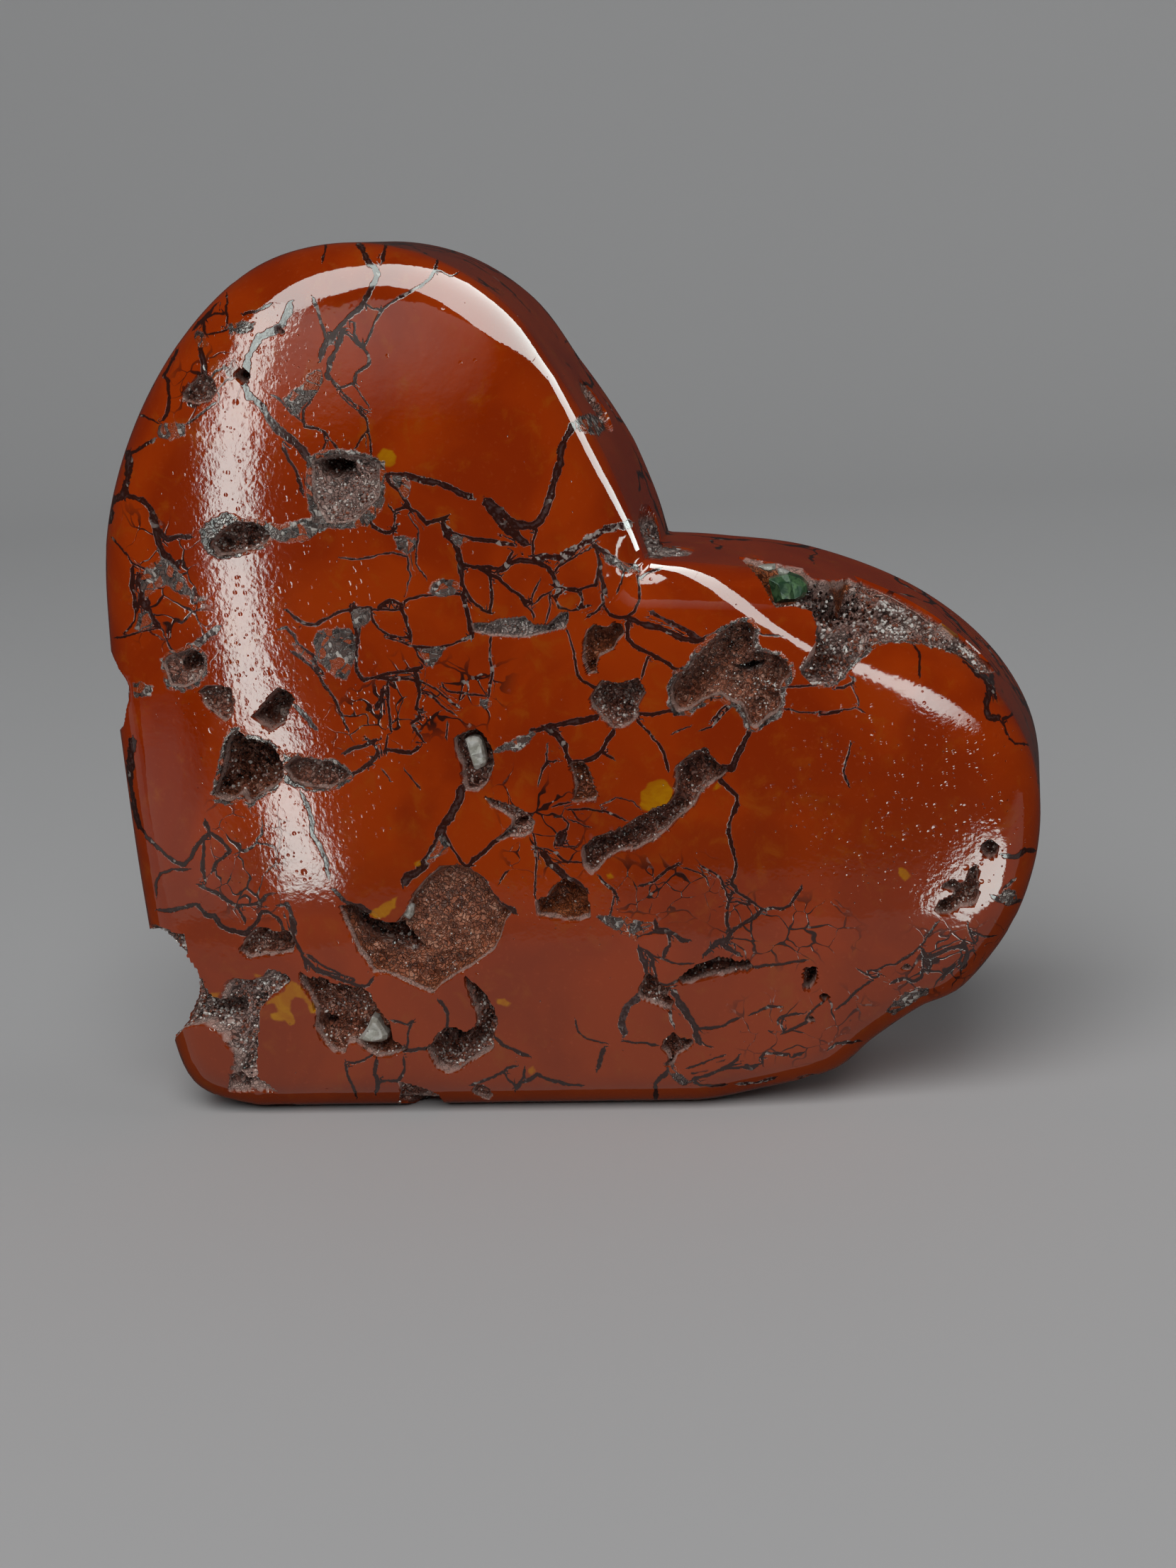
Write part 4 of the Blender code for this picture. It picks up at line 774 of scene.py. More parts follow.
OCHRE_PATCHES = [
    [(532, 642), (540, 633), (551, 634), (560, 643), (558, 654), (547, 659), (536, 655)],
    [(1322, 872), (1332, 868), (1346, 876), (1362, 890), (1357, 900), (1340, 894), (1328, 886)],
    [(541, 640), (546, 645), (541, 650), (535, 645)],
    [(905, 1117), (915, 1105), (927, 1100), (940, 1100), (950, 1115), (947, 1130), (920, 1145), (907, 1144),
     (902, 1135)], [(1005, 1115), (1017, 1110), (1013, 1104)],
    [(855, 1235), (862, 1231), (866, 1238), (858, 1241)],
    [(520, 1290), (540, 1275), (560, 1265), (557, 1280), (545, 1293), (535, 1297)],
    [(585, 1217), (592, 1214), (593, 1221), (586, 1222)], [(783, 777), (789, 775), (790, 780)],
    [(405, 1390), (412, 1383), (425, 1392), (432, 1405), (442, 1415), (447, 1427), (440, 1430), (432, 1415),
     (425, 1407), (415, 1407), (410, 1412), (410, 1427), (415, 1437), (417, 1445), (410, 1447), (402, 1440),
     (390, 1440), (380, 1435), (382, 1430), (395, 1427), (387, 1415), (380, 1415), (375, 1417), (387, 1405),
     (400, 1400)], [(299, 1400), (309, 1399), (307, 1410), (302, 1412), (295, 1406)],
    [(357, 1372), (370, 1376), (362, 1381)],
    [(1268, 1225), (1280, 1226), (1285, 1237), (1276, 1242), (1268, 1234)],
    [(1325, 872), (1340, 870), (1357, 885), (1357, 897), (1345, 897), (1330, 885)],
    [(700, 1409), (710, 1407), (722, 1415), (715, 1420), (702, 1417)],
    [(745, 1506), (752, 1504), (756, 1511), (750, 1517), (744, 1513)]]

# The skin is finer where a hollow or a marking has an edge. Each pass halves the faces near one.
REFINE_WITHIN = (0.90, 0.30)
VEINS = [(width, tone, line) for tone, veins in ((0.0, DARK_VEINS), (0.6, GREY_VEINS), (1.0, PALE_VEINS))
         for width, line in veins]
VEIN_REACH = 70.0
# Distances in millimetres that stand for: no hollow or marking near, no vein near, outside a patch.
FAR_FROM_DETAIL, NO_VEIN_NEAR, OUTSIDE = 99.0, 9.0, -3.0


def beside(pixels, line):
    """Which pixels lie near the box that holds a line."""
    line = np.array(line)
    return ((pixels > line.min(0) - VEIN_REACH) & (pixels < line.max(0) + VEIN_REACH)).all(1)


def detail_gap(places):
    """Distance from places on the skin to the nearest hollow or marking, in millimetres."""
    gap = np.full(len(places), FAR_FROM_DETAIL)
    front = places[:, 1] < -FACE_START
    pixels, scale = to_pixels(places[front])
    near = np.full(len(pixels), FAR_FROM_DETAIL)
    for deep, wide, rim in [*HOLLOWS.values(), *EDGE_RIMS.values()]:
        near = np.minimum(near, -inside_rim(pixels, rim) / scale)
    for width, tone, line in VEINS:
        close = beside(pixels, line)
        far = distance_to_line(pixels[close], line)[0]
        near[close] = np.minimum(near[close], (far - width / 2) / scale[close])
    for patch in [*MATRIX_PATCHES, *OCHRE_PATCHES]:
        close = beside(pixels, patch)
        near[close] = np.minimum(near[close], np.abs(inside_rim(pixels[close], patch)) / scale[close])
    gap[front] = near
    for way, lumps in EDGE_LUMPS.values():
        for lump in lumps:
            share = np.sqrt((((places - np.array(lump[:3])) / np.array(lump[3:])) ** 2).sum(1))
            gap = np.minimum(gap, (share - 1.1) * min(lump[3:]))
    back = places[:, 1] > FACE_START
    for pits in BACK_PITS.values():
        for pit in pits:
            share = back_pit_share(places[back], pit)
            gap[back] = np.minimum(gap[back], (share - 1.0) * min(pit[2:4]))
    return gap


for reach in REFINE_WITHIN:
    squares = [f for f in bm.faces if len(f.verts) == 4]
    middles = np.array([f.calc_center_median()[:] for f in squares])
    close = detail_gap(body_places(middles)) < reach
    edges = list({e for f, is_close in zip(squares, close) if is_close for e in f.edges})
    bmesh.ops.subdivide_edges(bm, edges=edges, cuts=1, use_grid_fill=True)

places = body_places(np.array([v.co[:] for v in bm.verts]))
for vert, place in zip(bm.verts, places):
    vert.co = Vector(place) * MM
bmesh.ops.recalc_face_normals(bm, faces=bm.faces)
bm.normal_update()
normals = np.array([v.normal[:] for v in bm.verts])
pixels, scale = to_pixels(places)
sight = places - np.array(CAMERA_PLACE)
sight /= np.linalg.norm(sight, axis=1)[:, None]
seen = (-(normals * sight).sum(1) > SMALLEST_VIEW_SLOPE) & (places[:, 1] < 0)

# Carving: each place sinks along its hollow's own direction, and keeps the name of the deepest one.
sink = np.zeros((len(places), 3))
depth = np.zeros(len(places))
hollow_names = [*HOLLOWS, *EDGE_LUMPS, *BACK_PITS]
hollow_of = np.full(len(places), -1)
rough_floor = 1 + FLOOR_WAVE * wavy(places, 0.9) + 0.5 * FLOOR_WAVE * wavy(places, 2.6, 5.0)


def carve(name, deep, way):
    """Sink places into a hollow, where that is deeper than what is carved there already."""
    deeper = deep > depth
    sink[deeper] = (deep[:, None] * np.array(way))[deeper]
    depth[deeper] = deep[deeper]
    hollow_of[deeper] = hollow_names.index(name)


rim_gap = np.full(len(places), OUTSIDE)
for name, (deep, wide, rim) in HOLLOWS.items():
    inside = np.where(seen, inside_rim(pixels, rim) / scale, -1.0)
    rim_gap = np.maximum(rim_gap, inside)
    carve(name, bowl(inside, deep, wide) * rough_floor, (0.0, 1.0, 0.0))
open_edge = np.zeros(len(places))
for name, (deep, wide, rim) in EDGE_RIMS.items():
    inside = np.where(seen, inside_rim(pixels, rim) / scale, -1.0)
    rim_gap = np.maximum(rim_gap, inside)
    open_edge = np.maximum(open_edge, np.clip(inside / RIM_SOFTNESS, 0, 1))
    carve(name, bowl(inside, deep, wide) * rough_floor, EDGE_LUMPS[name][0])
for name, (way, lumps) in EDGE_LUMPS.items():
    traced = name in EDGE_RIMS
    for lump in lumps:
        deep = through_lump(places, lump, way)
        carve(name, deep * np.where(seen & traced, open_edge, 1.0), way)
for name, pits in BACK_PITS.items():
    for pit in pits:
        share = np.where(places[:, 1] > FACE_START, back_pit_share(places, pit), 1.0)
        carve(name, pit[4] * np.sqrt(1 - np.minimum(share, 1) ** 2) * rough_floor, (0.0, -1.0, 0.0))

# Each place keeps what the stone shows there: how far it lies from its nearest vein, to which side, and
# how wide and pale that vein is, and how far inside a patch it lies. Distances are in millimetres.
vein_offset = np.full(len(places), NO_VEIN_NEAR)
vein_gap = vein_offset.copy()
vein_reach, vein_tone = np.zeros(len(places)), np.zeros(len(places))
for width, tone, line in VEINS:
    close = np.flatnonzero(beside(pixels, line) & seen)
    far, side, along = distance_to_line(pixels[close], line)
    far, half = far / scale[close], width / 2 / scale[close]
    nearer = far - half < vein_gap[close] - vein_reach[close]
    close, far, side, half = close[nearer], far[nearer], side[nearer], half[nearer]
    vein_offset[close], vein_gap[close] = far * np.where(side == 0, 1, side), far
    vein_reach[close], vein_tone[close] = half, tone
patch_depth = {}
for kind, patches in (("cement_depth", MATRIX_PATCHES), ("ochre_depth", OCHRE_PATCHES)):
    patch_depth[kind] = np.full(len(places), OUTSIDE)
    for patch in patches:
        close = np.flatnonzero(beside(pixels, patch) & seen)
        inside = inside_rim(pixels[close], patch) / scale[close]
        patch_depth[kind][close] = np.maximum(patch_depth[kind][close], inside)


def zone(patches, soft):
    """Share of a soft-edged zone that places lie in."""
    share = np.zeros(len(places))
    for patch in patches:
        share = np.maximum(share, np.clip(inside_rim(pixels, patch) / soft + 0.5, 0, 1))
    return share * seen


# Zones of fine cracks and of fine pocks, which fade over some pixels, and a ledge of bare red stone.
CRACKLED = [[(300, 1135), (390, 1150), (395, 1290), (330, 1290), (290, 1250)],
            [(1010, 1265), (1180, 1270), (1215, 1330), (1120, 1360), (1010, 1350)],
            [(860, 1215), (1000, 1215), (1030, 1290), (880, 1290)],
            [(560, 930), (720, 940), (700, 1020), (480, 1060), (470, 1000)],
            [(1040, 1420), (1190, 1400), (1230, 1420), (1130, 1500), (1050, 1480)],
            [(1300, 1310), (1420, 1310), (1350, 1400), (1260, 1400)],
            [(700, 1080), (830, 1120), (820, 1230), (720, 1230)],
            [(250, 600), (330, 560), (330, 480), (250, 520)],
            [(180, 720), (280, 760), (300, 930), (200, 900)]]
POCKED = [[(270, 480), (430, 440), (500, 520), (480, 640), (530, 780), (560, 960), (560, 1120),
           (480, 1262), (300, 1262), (290, 1100), (240, 900), (240, 700)],
          [(1120, 1010), (1300, 1000), (1440, 1050), (1440, 1180), (1330, 1270), (1180, 1250), (1080, 1150)],
          [(1270, 960), (1440, 1020), (1450, 1180), (1380, 1270), (1290, 1290), (1300, 1100)],
          [(720, 1240), (900, 1240), (900, 1320), (740, 1320)]]
CRACKLED_SOFT, POCKED_SOFT = 30.0, 50.0
RED_LEDGE = [(1048, 784), (1075, 776), (1110, 774), (1150, 779), (1185, 792), (1204, 812), (1196, 824),
             (1165, 819), (1130, 811), (1095, 803), (1066, 800)]
red_ledge = seen & (inside_rim(pixels, RED_LEDGE) > 0)
surface_marks = {
    "vein_offset": vein_offset, "vein_gap": vein_gap, "vein_reach": vein_reach, "vein_tone": vein_tone,
    **patch_depth, "rim_gap": rim_gap,
    "hollow_tint": np.where(red_ledge, 0.0, np.array(
        [*(LININGS.get(name, OTHER_LINING)[0] for name in hollow_names), 0.3])[hollow_of]),
    "hollow": np.clip(depth / RIM_SOFTNESS, 0, 1), "traced": seen.astype(float),
    "crackle": zone(CRACKLED, CRACKLED_SOFT), "pocks": zone(POCKED, POCKED_SOFT)}

low, high = np.array(cad_box[0]) / MM, np.array(cad_box[1]) / MM
carved = np.clip(places + sink, low, high)
for vert, place in zip(bm.verts, carved):
    vert.co = Vector(place) * MM
bmesh.ops.triangulate(bm, faces=bm.faces)
heart = finished_piece(bm, "polished_heart")
heart_mesh = heart.data


def keep_marks(mesh, marks):
    """Keep a value for each corner of the mesh under each mark's name."""
    for mark, values in marks.items():
        mesh.attributes.new(mark, "FLOAT", "POINT").data.foreach_set("value", values)


keep_marks(heart_mesh, surface_marks)
heart_mesh.shade_smooth()
heart_mesh.set_sharp_from_angle(angle=SHARP_ANGLE)


def node(tree, kind, inputs=None, **settings):
    """New shader node, with its inputs set to values or joined to other nodes' outputs."""
    made = tree.nodes.new("ShaderNode" + kind)
    for name, value in settings.items():
        setattr(made, name, value)
    for name, value in (inputs or {}).items():
        if isinstance(value, bpy.types.NodeSocket):
            tree.links.new(value, made.inputs[name])
        else:
            made.inputs[name].default_value = value
    return made


def tree_of(*values):
    """The node tree that the first socket among the values belongs to."""
    return next(value.id_data for value in values if isinstance(value, bpy.types.NodeSocket))


def calc(operation, *values, clamp=False):
    """Result of a Math node."""
    return node(tree_of(*values), "Math", dict(enumerate(values)), operation=operation,
                use_clamp=clamp).outputs[0]


def times(first, second):
    return calc("MULTIPLY", first, second)


def plus(first, second, clamp=False):
    return calc("ADD", first, second, clamp=clamp)


def less(first, second, clamp=False):
    return calc("SUBTRACT", first, second, clamp=clamp)


def larger(first, second):
    return calc("MAXIMUM", first, second)


def times_plus(first, second, third, clamp=False):
    """The first value times the second, plus the third."""
    return calc("MULTIPLY_ADD", first, second, third, clamp=clamp)


def step_up(value, low, high):
    """0 below the low value, 1 above the high one, and smooth between them."""
    return node(value.id_data, "MapRange", {"Value": value, "From Min": low, "From Max": high},
                interpolation_type="SMOOTHSTEP").outputs[0]


def blend_colours(share, first, second):
    """The first colour, turned into the second by the share."""
    first, second = ((*c, 1.0) if isinstance(c, tuple) else c for c in (first, second))
    return node(share.id_data, "Mix", {0: share, 6: first, 7: second}, data_type="RGBA").outputs[2]


def attribute(tree, name):
    """A value that the mesh keeps at each corner."""
    return node(tree, "Attribute", attribute_name=name).outputs["Fac"]


def millimetres(tree):
    """Places on the piece itself, in millimetres."""
    place = node(tree, "TexCoord").outputs["Object"]
    return node(tree, "VectorMath", {0: place, 3: 1 / MM}, operation="SCALE").outputs[0]


def cloudy(place, grain, detail=2.0, warp=0.0, rough=0.5):
    """Smooth noise from 0 to 1, with this many forms to a millimetre."""
    return node(place.id_data, "TexNoise", {"Vector": place, "Scale": grain, "Detail": detail,
                                            "Distortion": warp, "Roughness": rough}).outputs["Fac"]


def new_group(name, takes, gives):
    """Empty shader node group with named inputs and outputs; returns its tree, inputs and output node."""
    group = bpy.data.node_groups.new(name, "ShaderNodeTree")
    for title, (kind, value) in takes.items():
        socket = group.interface.new_socket(title, in_out="INPUT", socket_type="NodeSocket" + kind)
        if value is not None:
            socket.default_value = value
    for title, kind in gives.items():
        group.interface.new_socket(title, in_out="OUTPUT", socket_type="NodeSocket" + kind)
    return group, group.nodes.new("NodeGroupInput").outputs, group.nodes.new("NodeGroupOutput").inputs


# Quartz sand: the fine sparkling cement between the fragments and in the hollows. Each grain has a tone
# and a height of its own.
quartz_sand, given, made = new_group(
    "quartz_sand",
    {"Place": ("Vector", None), "Grains": ("Float", 3.0), "Dark": ("Color", None),
     "Middle": ("Color", None), "Light": ("Color", None)},
    {"Color": "Color", "Height": "Float", "Tone": "Float"})
bend = node(quartz_sand, "TexNoise", {"Vector": given["Place"], "Scale": 1.3, "Detail": 1.0})
bent = node(quartz_sand, "VectorMath", {0: given["Place"], 1: bend.outputs["Color"]},
            operation="ADD").outputs[0]
grain = node(quartz_sand, "TexVoronoi", {"Vector": bent, "Scale": given["Grains"], "Randomness": 1.0})
grain_edge = node(quartz_sand, "TexVoronoi", {"Vector": bent, "Scale": given["Grains"]},
                  feature="DISTANCE_TO_EDGE").outputs["Distance"]
grain_tone = node(quartz_sand, "SeparateColor", {"Color": grain.outputs["Color"]}).outputs[0]
patchy = cloudy(given["Place"], 0.45, 2.0)
tone = plus(times(grain_tone, 0.75), times_plus(patchy, 0.9, -0.33), clamp=True)
sand_colour = blend_colours(step_up(tone, 0.05, 0.5), given["Dark"], given["Middle"])
sand_colour = blend_colours(step_up(tone, 0.62, 0.98), sand_colour, given["Light"])
# Each grain darkens towards its edge: painted shade in the crevices between the grains.
shade = step_up(grain_edge, 0.0, 0.12)
quartz_sand.links.new(blend_colours(times_plus(shade, -0.55, 0.55), sand_colour, (0.012, 0.006, 0.005)),
                      made["Color"])
quartz_sand.links.new(times(shade, times_plus(grain_tone, 0.8, 0.2)), made["Height"])
quartz_sand.links.new(tone, made["Tone"])


def sand(place, grains, dark, middle, light):
    """Quartz sand placed in a material with its own grains to a millimetre and its own three colours."""
    colours = {"Dark": (*dark, 1.0), "Middle": (*middle, 1.0), "Light": (*light, 1.0)}
    return node(place.id_data, "Group", {"Place": place, "Grains": grains, **colours}, node_tree=quartz_sand)


# Colours of the stone: clear red to orange-brown fragments, near-black to blue-grey veins, yellow ochre.
DEEP_RED, CLEAR_RED, ORANGE_BROWN = (0.31, 0.026, 0.0004), (0.42, 0.043, 0.0006), (0.40, 0.078, 0.003)
# The dull brown is painted shade towards the bottom of the stone; the pink brown is its own speckle.
LOW_SHADE_BROWN, PINK_BROWN = (0.21, 0.048, 0.012), (0.46, 0.08, 0.02)
VEIN_BLACK, VEIN_GREY, VEIN_PALE = (0.012, 0.006, 0.005), (0.062, 0.045, 0.045), (0.36, 0.33, 0.30)
OCHRE, OCHRE_BROWN = (0.52, 0.22, 0.001), (0.42, 0.13, 0.001)
CEMENT = ((0.020, 0.010, 0.008), (0.125, 0.078, 0.066), (0.62, 0.57, 0.52))
CRUMB_RED, RIM_PALE = (0.34, 0.050, 0.006), (0.56, 0.38, 0.33)
RUST_FLOOR, PINK_FLOOR, GREY_FLOOR = (0.34, 0.088, 0.026), (0.32, 0.125, 0.085), (0.34, 0.27, 0.25)

jasper, tree, shader = start_material("red_jasper", 0.1)
place = millimetres(tree)
clouds = cloudy(place, 0.085, 4.0, 0.8)
mottle = cloudy(place, 0.42, 5.0, 0.5, 0.62)
speck = cloudy(place, 2.6, 3.0)
colour = blend_colours(step_up(clouds, 0.36, 0.66), DEEP_RED, CLEAR_RED)
colour = blend_colours(times(step_up(mottle, 0.52, 0.78), 0.7), colour, ORANGE_BROWN)
# Painted shade: the stone turns dull brown towards the bottom, as if lit from above.
height_up = node(tree, "SeparateXYZ", {"Vector": place}).outputs["Z"]
painted_low_shade = less(1.0, step_up(times_plus(clouds, 16.0, height_up), 14.0, 44.0))
colour = blend_colours(times(painted_low_shade, 0.45), colour, LOW_SHADE_BROWN)
colour = blend_colours(times(step_up(speck, 0.60, 0.74), 0.22), colour, PINK_BROWN)

# Fragments of the sides and the back: a network of cracks that a distorted cell pattern draws.
traced, crackle = attribute(tree, "traced"), attribute(tree, "crackle")
drift = node(tree, "TexNoise", {"Vector": place, "Scale": 0.16, "Detail": 3.0}).outputs["Color"]
drifted = node(tree, "VectorMath", {0: drift, 1: (7.0, 7.0, 7.0), 2: place},
               operation="MULTIPLY_ADD").outputs[0]
rock_edge = node(tree, "TexVoronoi", {"Vector": drifted, "Scale": 0.105},
                 feature="DISTANCE_TO_EDGE").outputs[0]
fine_edge = node(tree, "TexVoronoi", {"Vector": drifted, "Scale": 0.44},
                 feature="DISTANCE_TO_EDGE").outputs[0]
vein_swell = cloudy(place, 0.5, 2.0)
rock_half = larger(times_plus(vein_swell, 0.14, -0.045), 0.006)
free_veins = less(1.0, calc("DIVIDE", rock_edge, rock_half), clamp=True)
fine_half = larger(times_plus(vein_swell, 0.24, -0.080), 0.0001)
fine_veins = less(1.0, calc("DIVIDE", fine_edge, fine_half), clamp=True)
free_veins = times(step_up(free_veins, 0.0, 0.35), less(1.0, traced))
fine_share = times(less(1.0, traced), step_up(clouds, 0.52, 0.66))
fine_share = larger(crackle, fine_share)
fine_veins = times(step_up(fine_veins, 0.0, 0.5), fine_share)

# Veins of the polished face. Each line wanders a little and swells along its length.
wander = times_plus(cloudy(place, 1.3, 5.0, 0.4, 0.62), 0.40, -0.20)
off_line = calc("ABSOLUTE", plus(attribute(tree, "vein_offset"), wander))
swelling = times_plus(cloudy(place, 0.9, 4.0, 0.0, 0.6), 2.2, -0.12)
half_width = times(attribute(tree, "vein_reach"), swelling)
on_line = less(1.0, step_up(less(off_line, half_width), -0.035, 0.05))
close_by = less(1.0, step_up(less(attribute(tree, "vein_gap"), half_width), 0.16, 0.30))
traced_veins = times(on_line, close_by)
veins = larger(traced_veins, larger(free_veins, fine_veins))
vein_middle = step_up(less(half_width, off_line), 0.05, 0.32)
greyness = larger(attribute(tree, "vein_tone"), times(vein_middle, 0.55))
grey_mix = times(greyness, step_up(cloudy(place, 2.6, 4.0), 0.40, 0.60))
vein_colour = blend_colours(step_up(grey_mix, 0.0, 0.7), VEIN_BLACK, VEIN_GREY)
vein_colour = blend_colours(step_up(grey_mix, 0.66, 0.95), vein_colour, VEIN_PALE)
cement = sand(place, 2.6, *CEMENT)
vein_colour = blend_colours(times(step_up(cement.outputs["Tone"], 0.84, 0.96), 0.5), vein_colour, CEMENT[2])
colour = blend_colours(times(veins, 0.93), colour, vein_colour)

# Ochre, then the cement, then the rough red floor of the hollows.
ochre_mask = step_up(times_plus(cloudy(place, 1.5, 3.0), 0.5, plus(attribute(tree, "ochre_depth"), -0.25)),
                     -0.10, 0.12)
ochre = blend_colours(step_up(mottle, 0.4, 0.7), OCHRE_BROWN, OCHRE)
colour = blend_colours(ochre_mask, colour, ochre)
cement_mask = step_up(times_plus(cloudy(place, 1.8, 3.0), 0.6, plus(attribute(tree, "cement_depth"), -0.3)),
                      -0.06, 0.10)
crumb_cells = node(tree, "TexVoronoi", {"Vector": drifted, "Scale": 0.95})
crumb_edge = node(tree, "TexVoronoi", {"Vector": drifted, "Scale": 0.95},
                  feature="DISTANCE_TO_EDGE").outputs[0]
crumb_luck = node(tree, "SeparateColor", {"Color": crumb_cells.outputs["Color"]}).outputs[0]
crumbs = times(step_up(crumb_luck, 0.56, 0.60), step_up(crumb_edge, 0.05, 0.10))
cement_colour = blend_colours(crumbs, cement.outputs["Color"], CRUMB_RED)
colour = blend_colours(cement_mask, colour, cement_colour)
hollow_tint = attribute(tree, "hollow_tint")
floor_colour = blend_colours(step_up(hollow_tint, 0.12, 0.36), RUST_FLOOR, PINK_FLOOR)
floor_colour = blend_colours(step_up(hollow_tint, 0.36, 0.66), floor_colour, GREY_FLOOR)
hollow_sand = sand(place, 2.8, (0.05, 0.016, 0.010), (0.3, 0.1, 0.06), (0.72, 0.58, 0.52))
floor_light = blend_colours(step_up(hollow_tint, 0.14, 0.4), (0.50, 0.17, 0.07), (0.72, 0.58, 0.52))
floor_dark = blend_colours(step_up(hollow_tint, 0.14, 0.4), (0.11, 0.026, 0.009), (0.04, 0.013, 0.009))
for socket, wanted in (("Dark", floor_dark), ("Middle", floor_colour), ("Light", floor_light)):
    tree.links.new(wanted, hollow_sand.inputs[socket])
hollow = step_up(attribute(tree, "hollow"), 0.15, 0.8)
colour = blend_colours(hollow, colour, hollow_sand.outputs["Color"])
rim_half = times_plus(cloudy(place, 0.8, 4.0), 0.30, -0.10)
off_rim = calc("ABSOLUTE", less(attribute(tree, "rim_gap"), 0.05))
rim_share = less(1.0, step_up(less(off_rim, rim_half), -0.03, 0.05))
colour = blend_colours(times(rim_share, 0.75), colour, RIM_PALE)
tree.links.new(colour, shader.inputs["Base Color"])

# Polish: glassy fragments, duller veins, and rough hollows. Fine waves, dimples and pin-pricks.
pocks = attribute(tree, "pocks")
roughness = times_plus(mottle, 0.05, 0.025)
roughness = times_plus(veins, 0.05, roughness)
roughness = times_plus(pocks, 0.02, roughness)
roughness = times_plus(cement_mask, 0.12, roughness)
roughness = times_plus(hollow, 0.34, roughness, clamp=True)
tree.links.new(roughness, shader.inputs["Roughness"])
waves = times(cloudy(place, 0.9, 2.0), 0.25)


def bowls(spacing, chance, swell=0.35, power=2.0):
    """Rounded dimples about this many millimetres apart, each with a size of its own, where chance allows."""
    cells = node(tree, "TexVoronoi", {"Vector": place, "Scale": 1.0 / spacing, "Randomness": 1.0})
    luck = node(tree, "SeparateColor", {"Color": cells.outputs["Color"]}).outputs[0]
    reach = larger(plus(luck, less(chance, 1.0)), 0.001)
    reach = times_plus(reach, swell, 0.13)
    share = calc("DIVIDE", cells.outputs["Distance"], reach)
    dimple = less(1.0, calc("POWER", share, power), clamp=True)
    return times(dimple, calc("GREATER_THAN", luck, less(1.0, chance)))


pins = times(bowls(0.62, times_plus(pocks, 0.60, 0.03), 0.08, 1.0), 2.2)
small_bowls = times(bowls(0.6, times_plus(pocks, 0.60, 0.03)), 0.40)
large_bowls = times(bowls(1.2, times_plus(pocks, 0.34, 0.08)), 0.60)
pricks = larger(pins, plus(small_bowls, large_bowls))
peel = times(cloudy(place, 2.2, 3.0), times_plus(pocks, 0.24, 0.05))
height = less(plus(waves, peel), pricks)
vein_depth = larger(traced_veins, times(veins, 0.3))
height = times_plus(vein_depth, -0.5, height)
height = times_plus(times(cement_mask, cement.outputs["Height"]), 1.5, height)
height = times_plus(times(hollow, hollow_sand.outputs["Height"]), 4.0, height)
bump = node(tree, "Bump", {"Height": height, "Distance": 0.05 * MM, "Strength": 1.0})
tree.links.new(bump.outputs["Normal"], shader.inputs["Normal"])
shader.inputs["IOR"].default_value = 1.54
heart.data.materials.append(jasper)
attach(heart, "root")
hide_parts("jasper_heart")

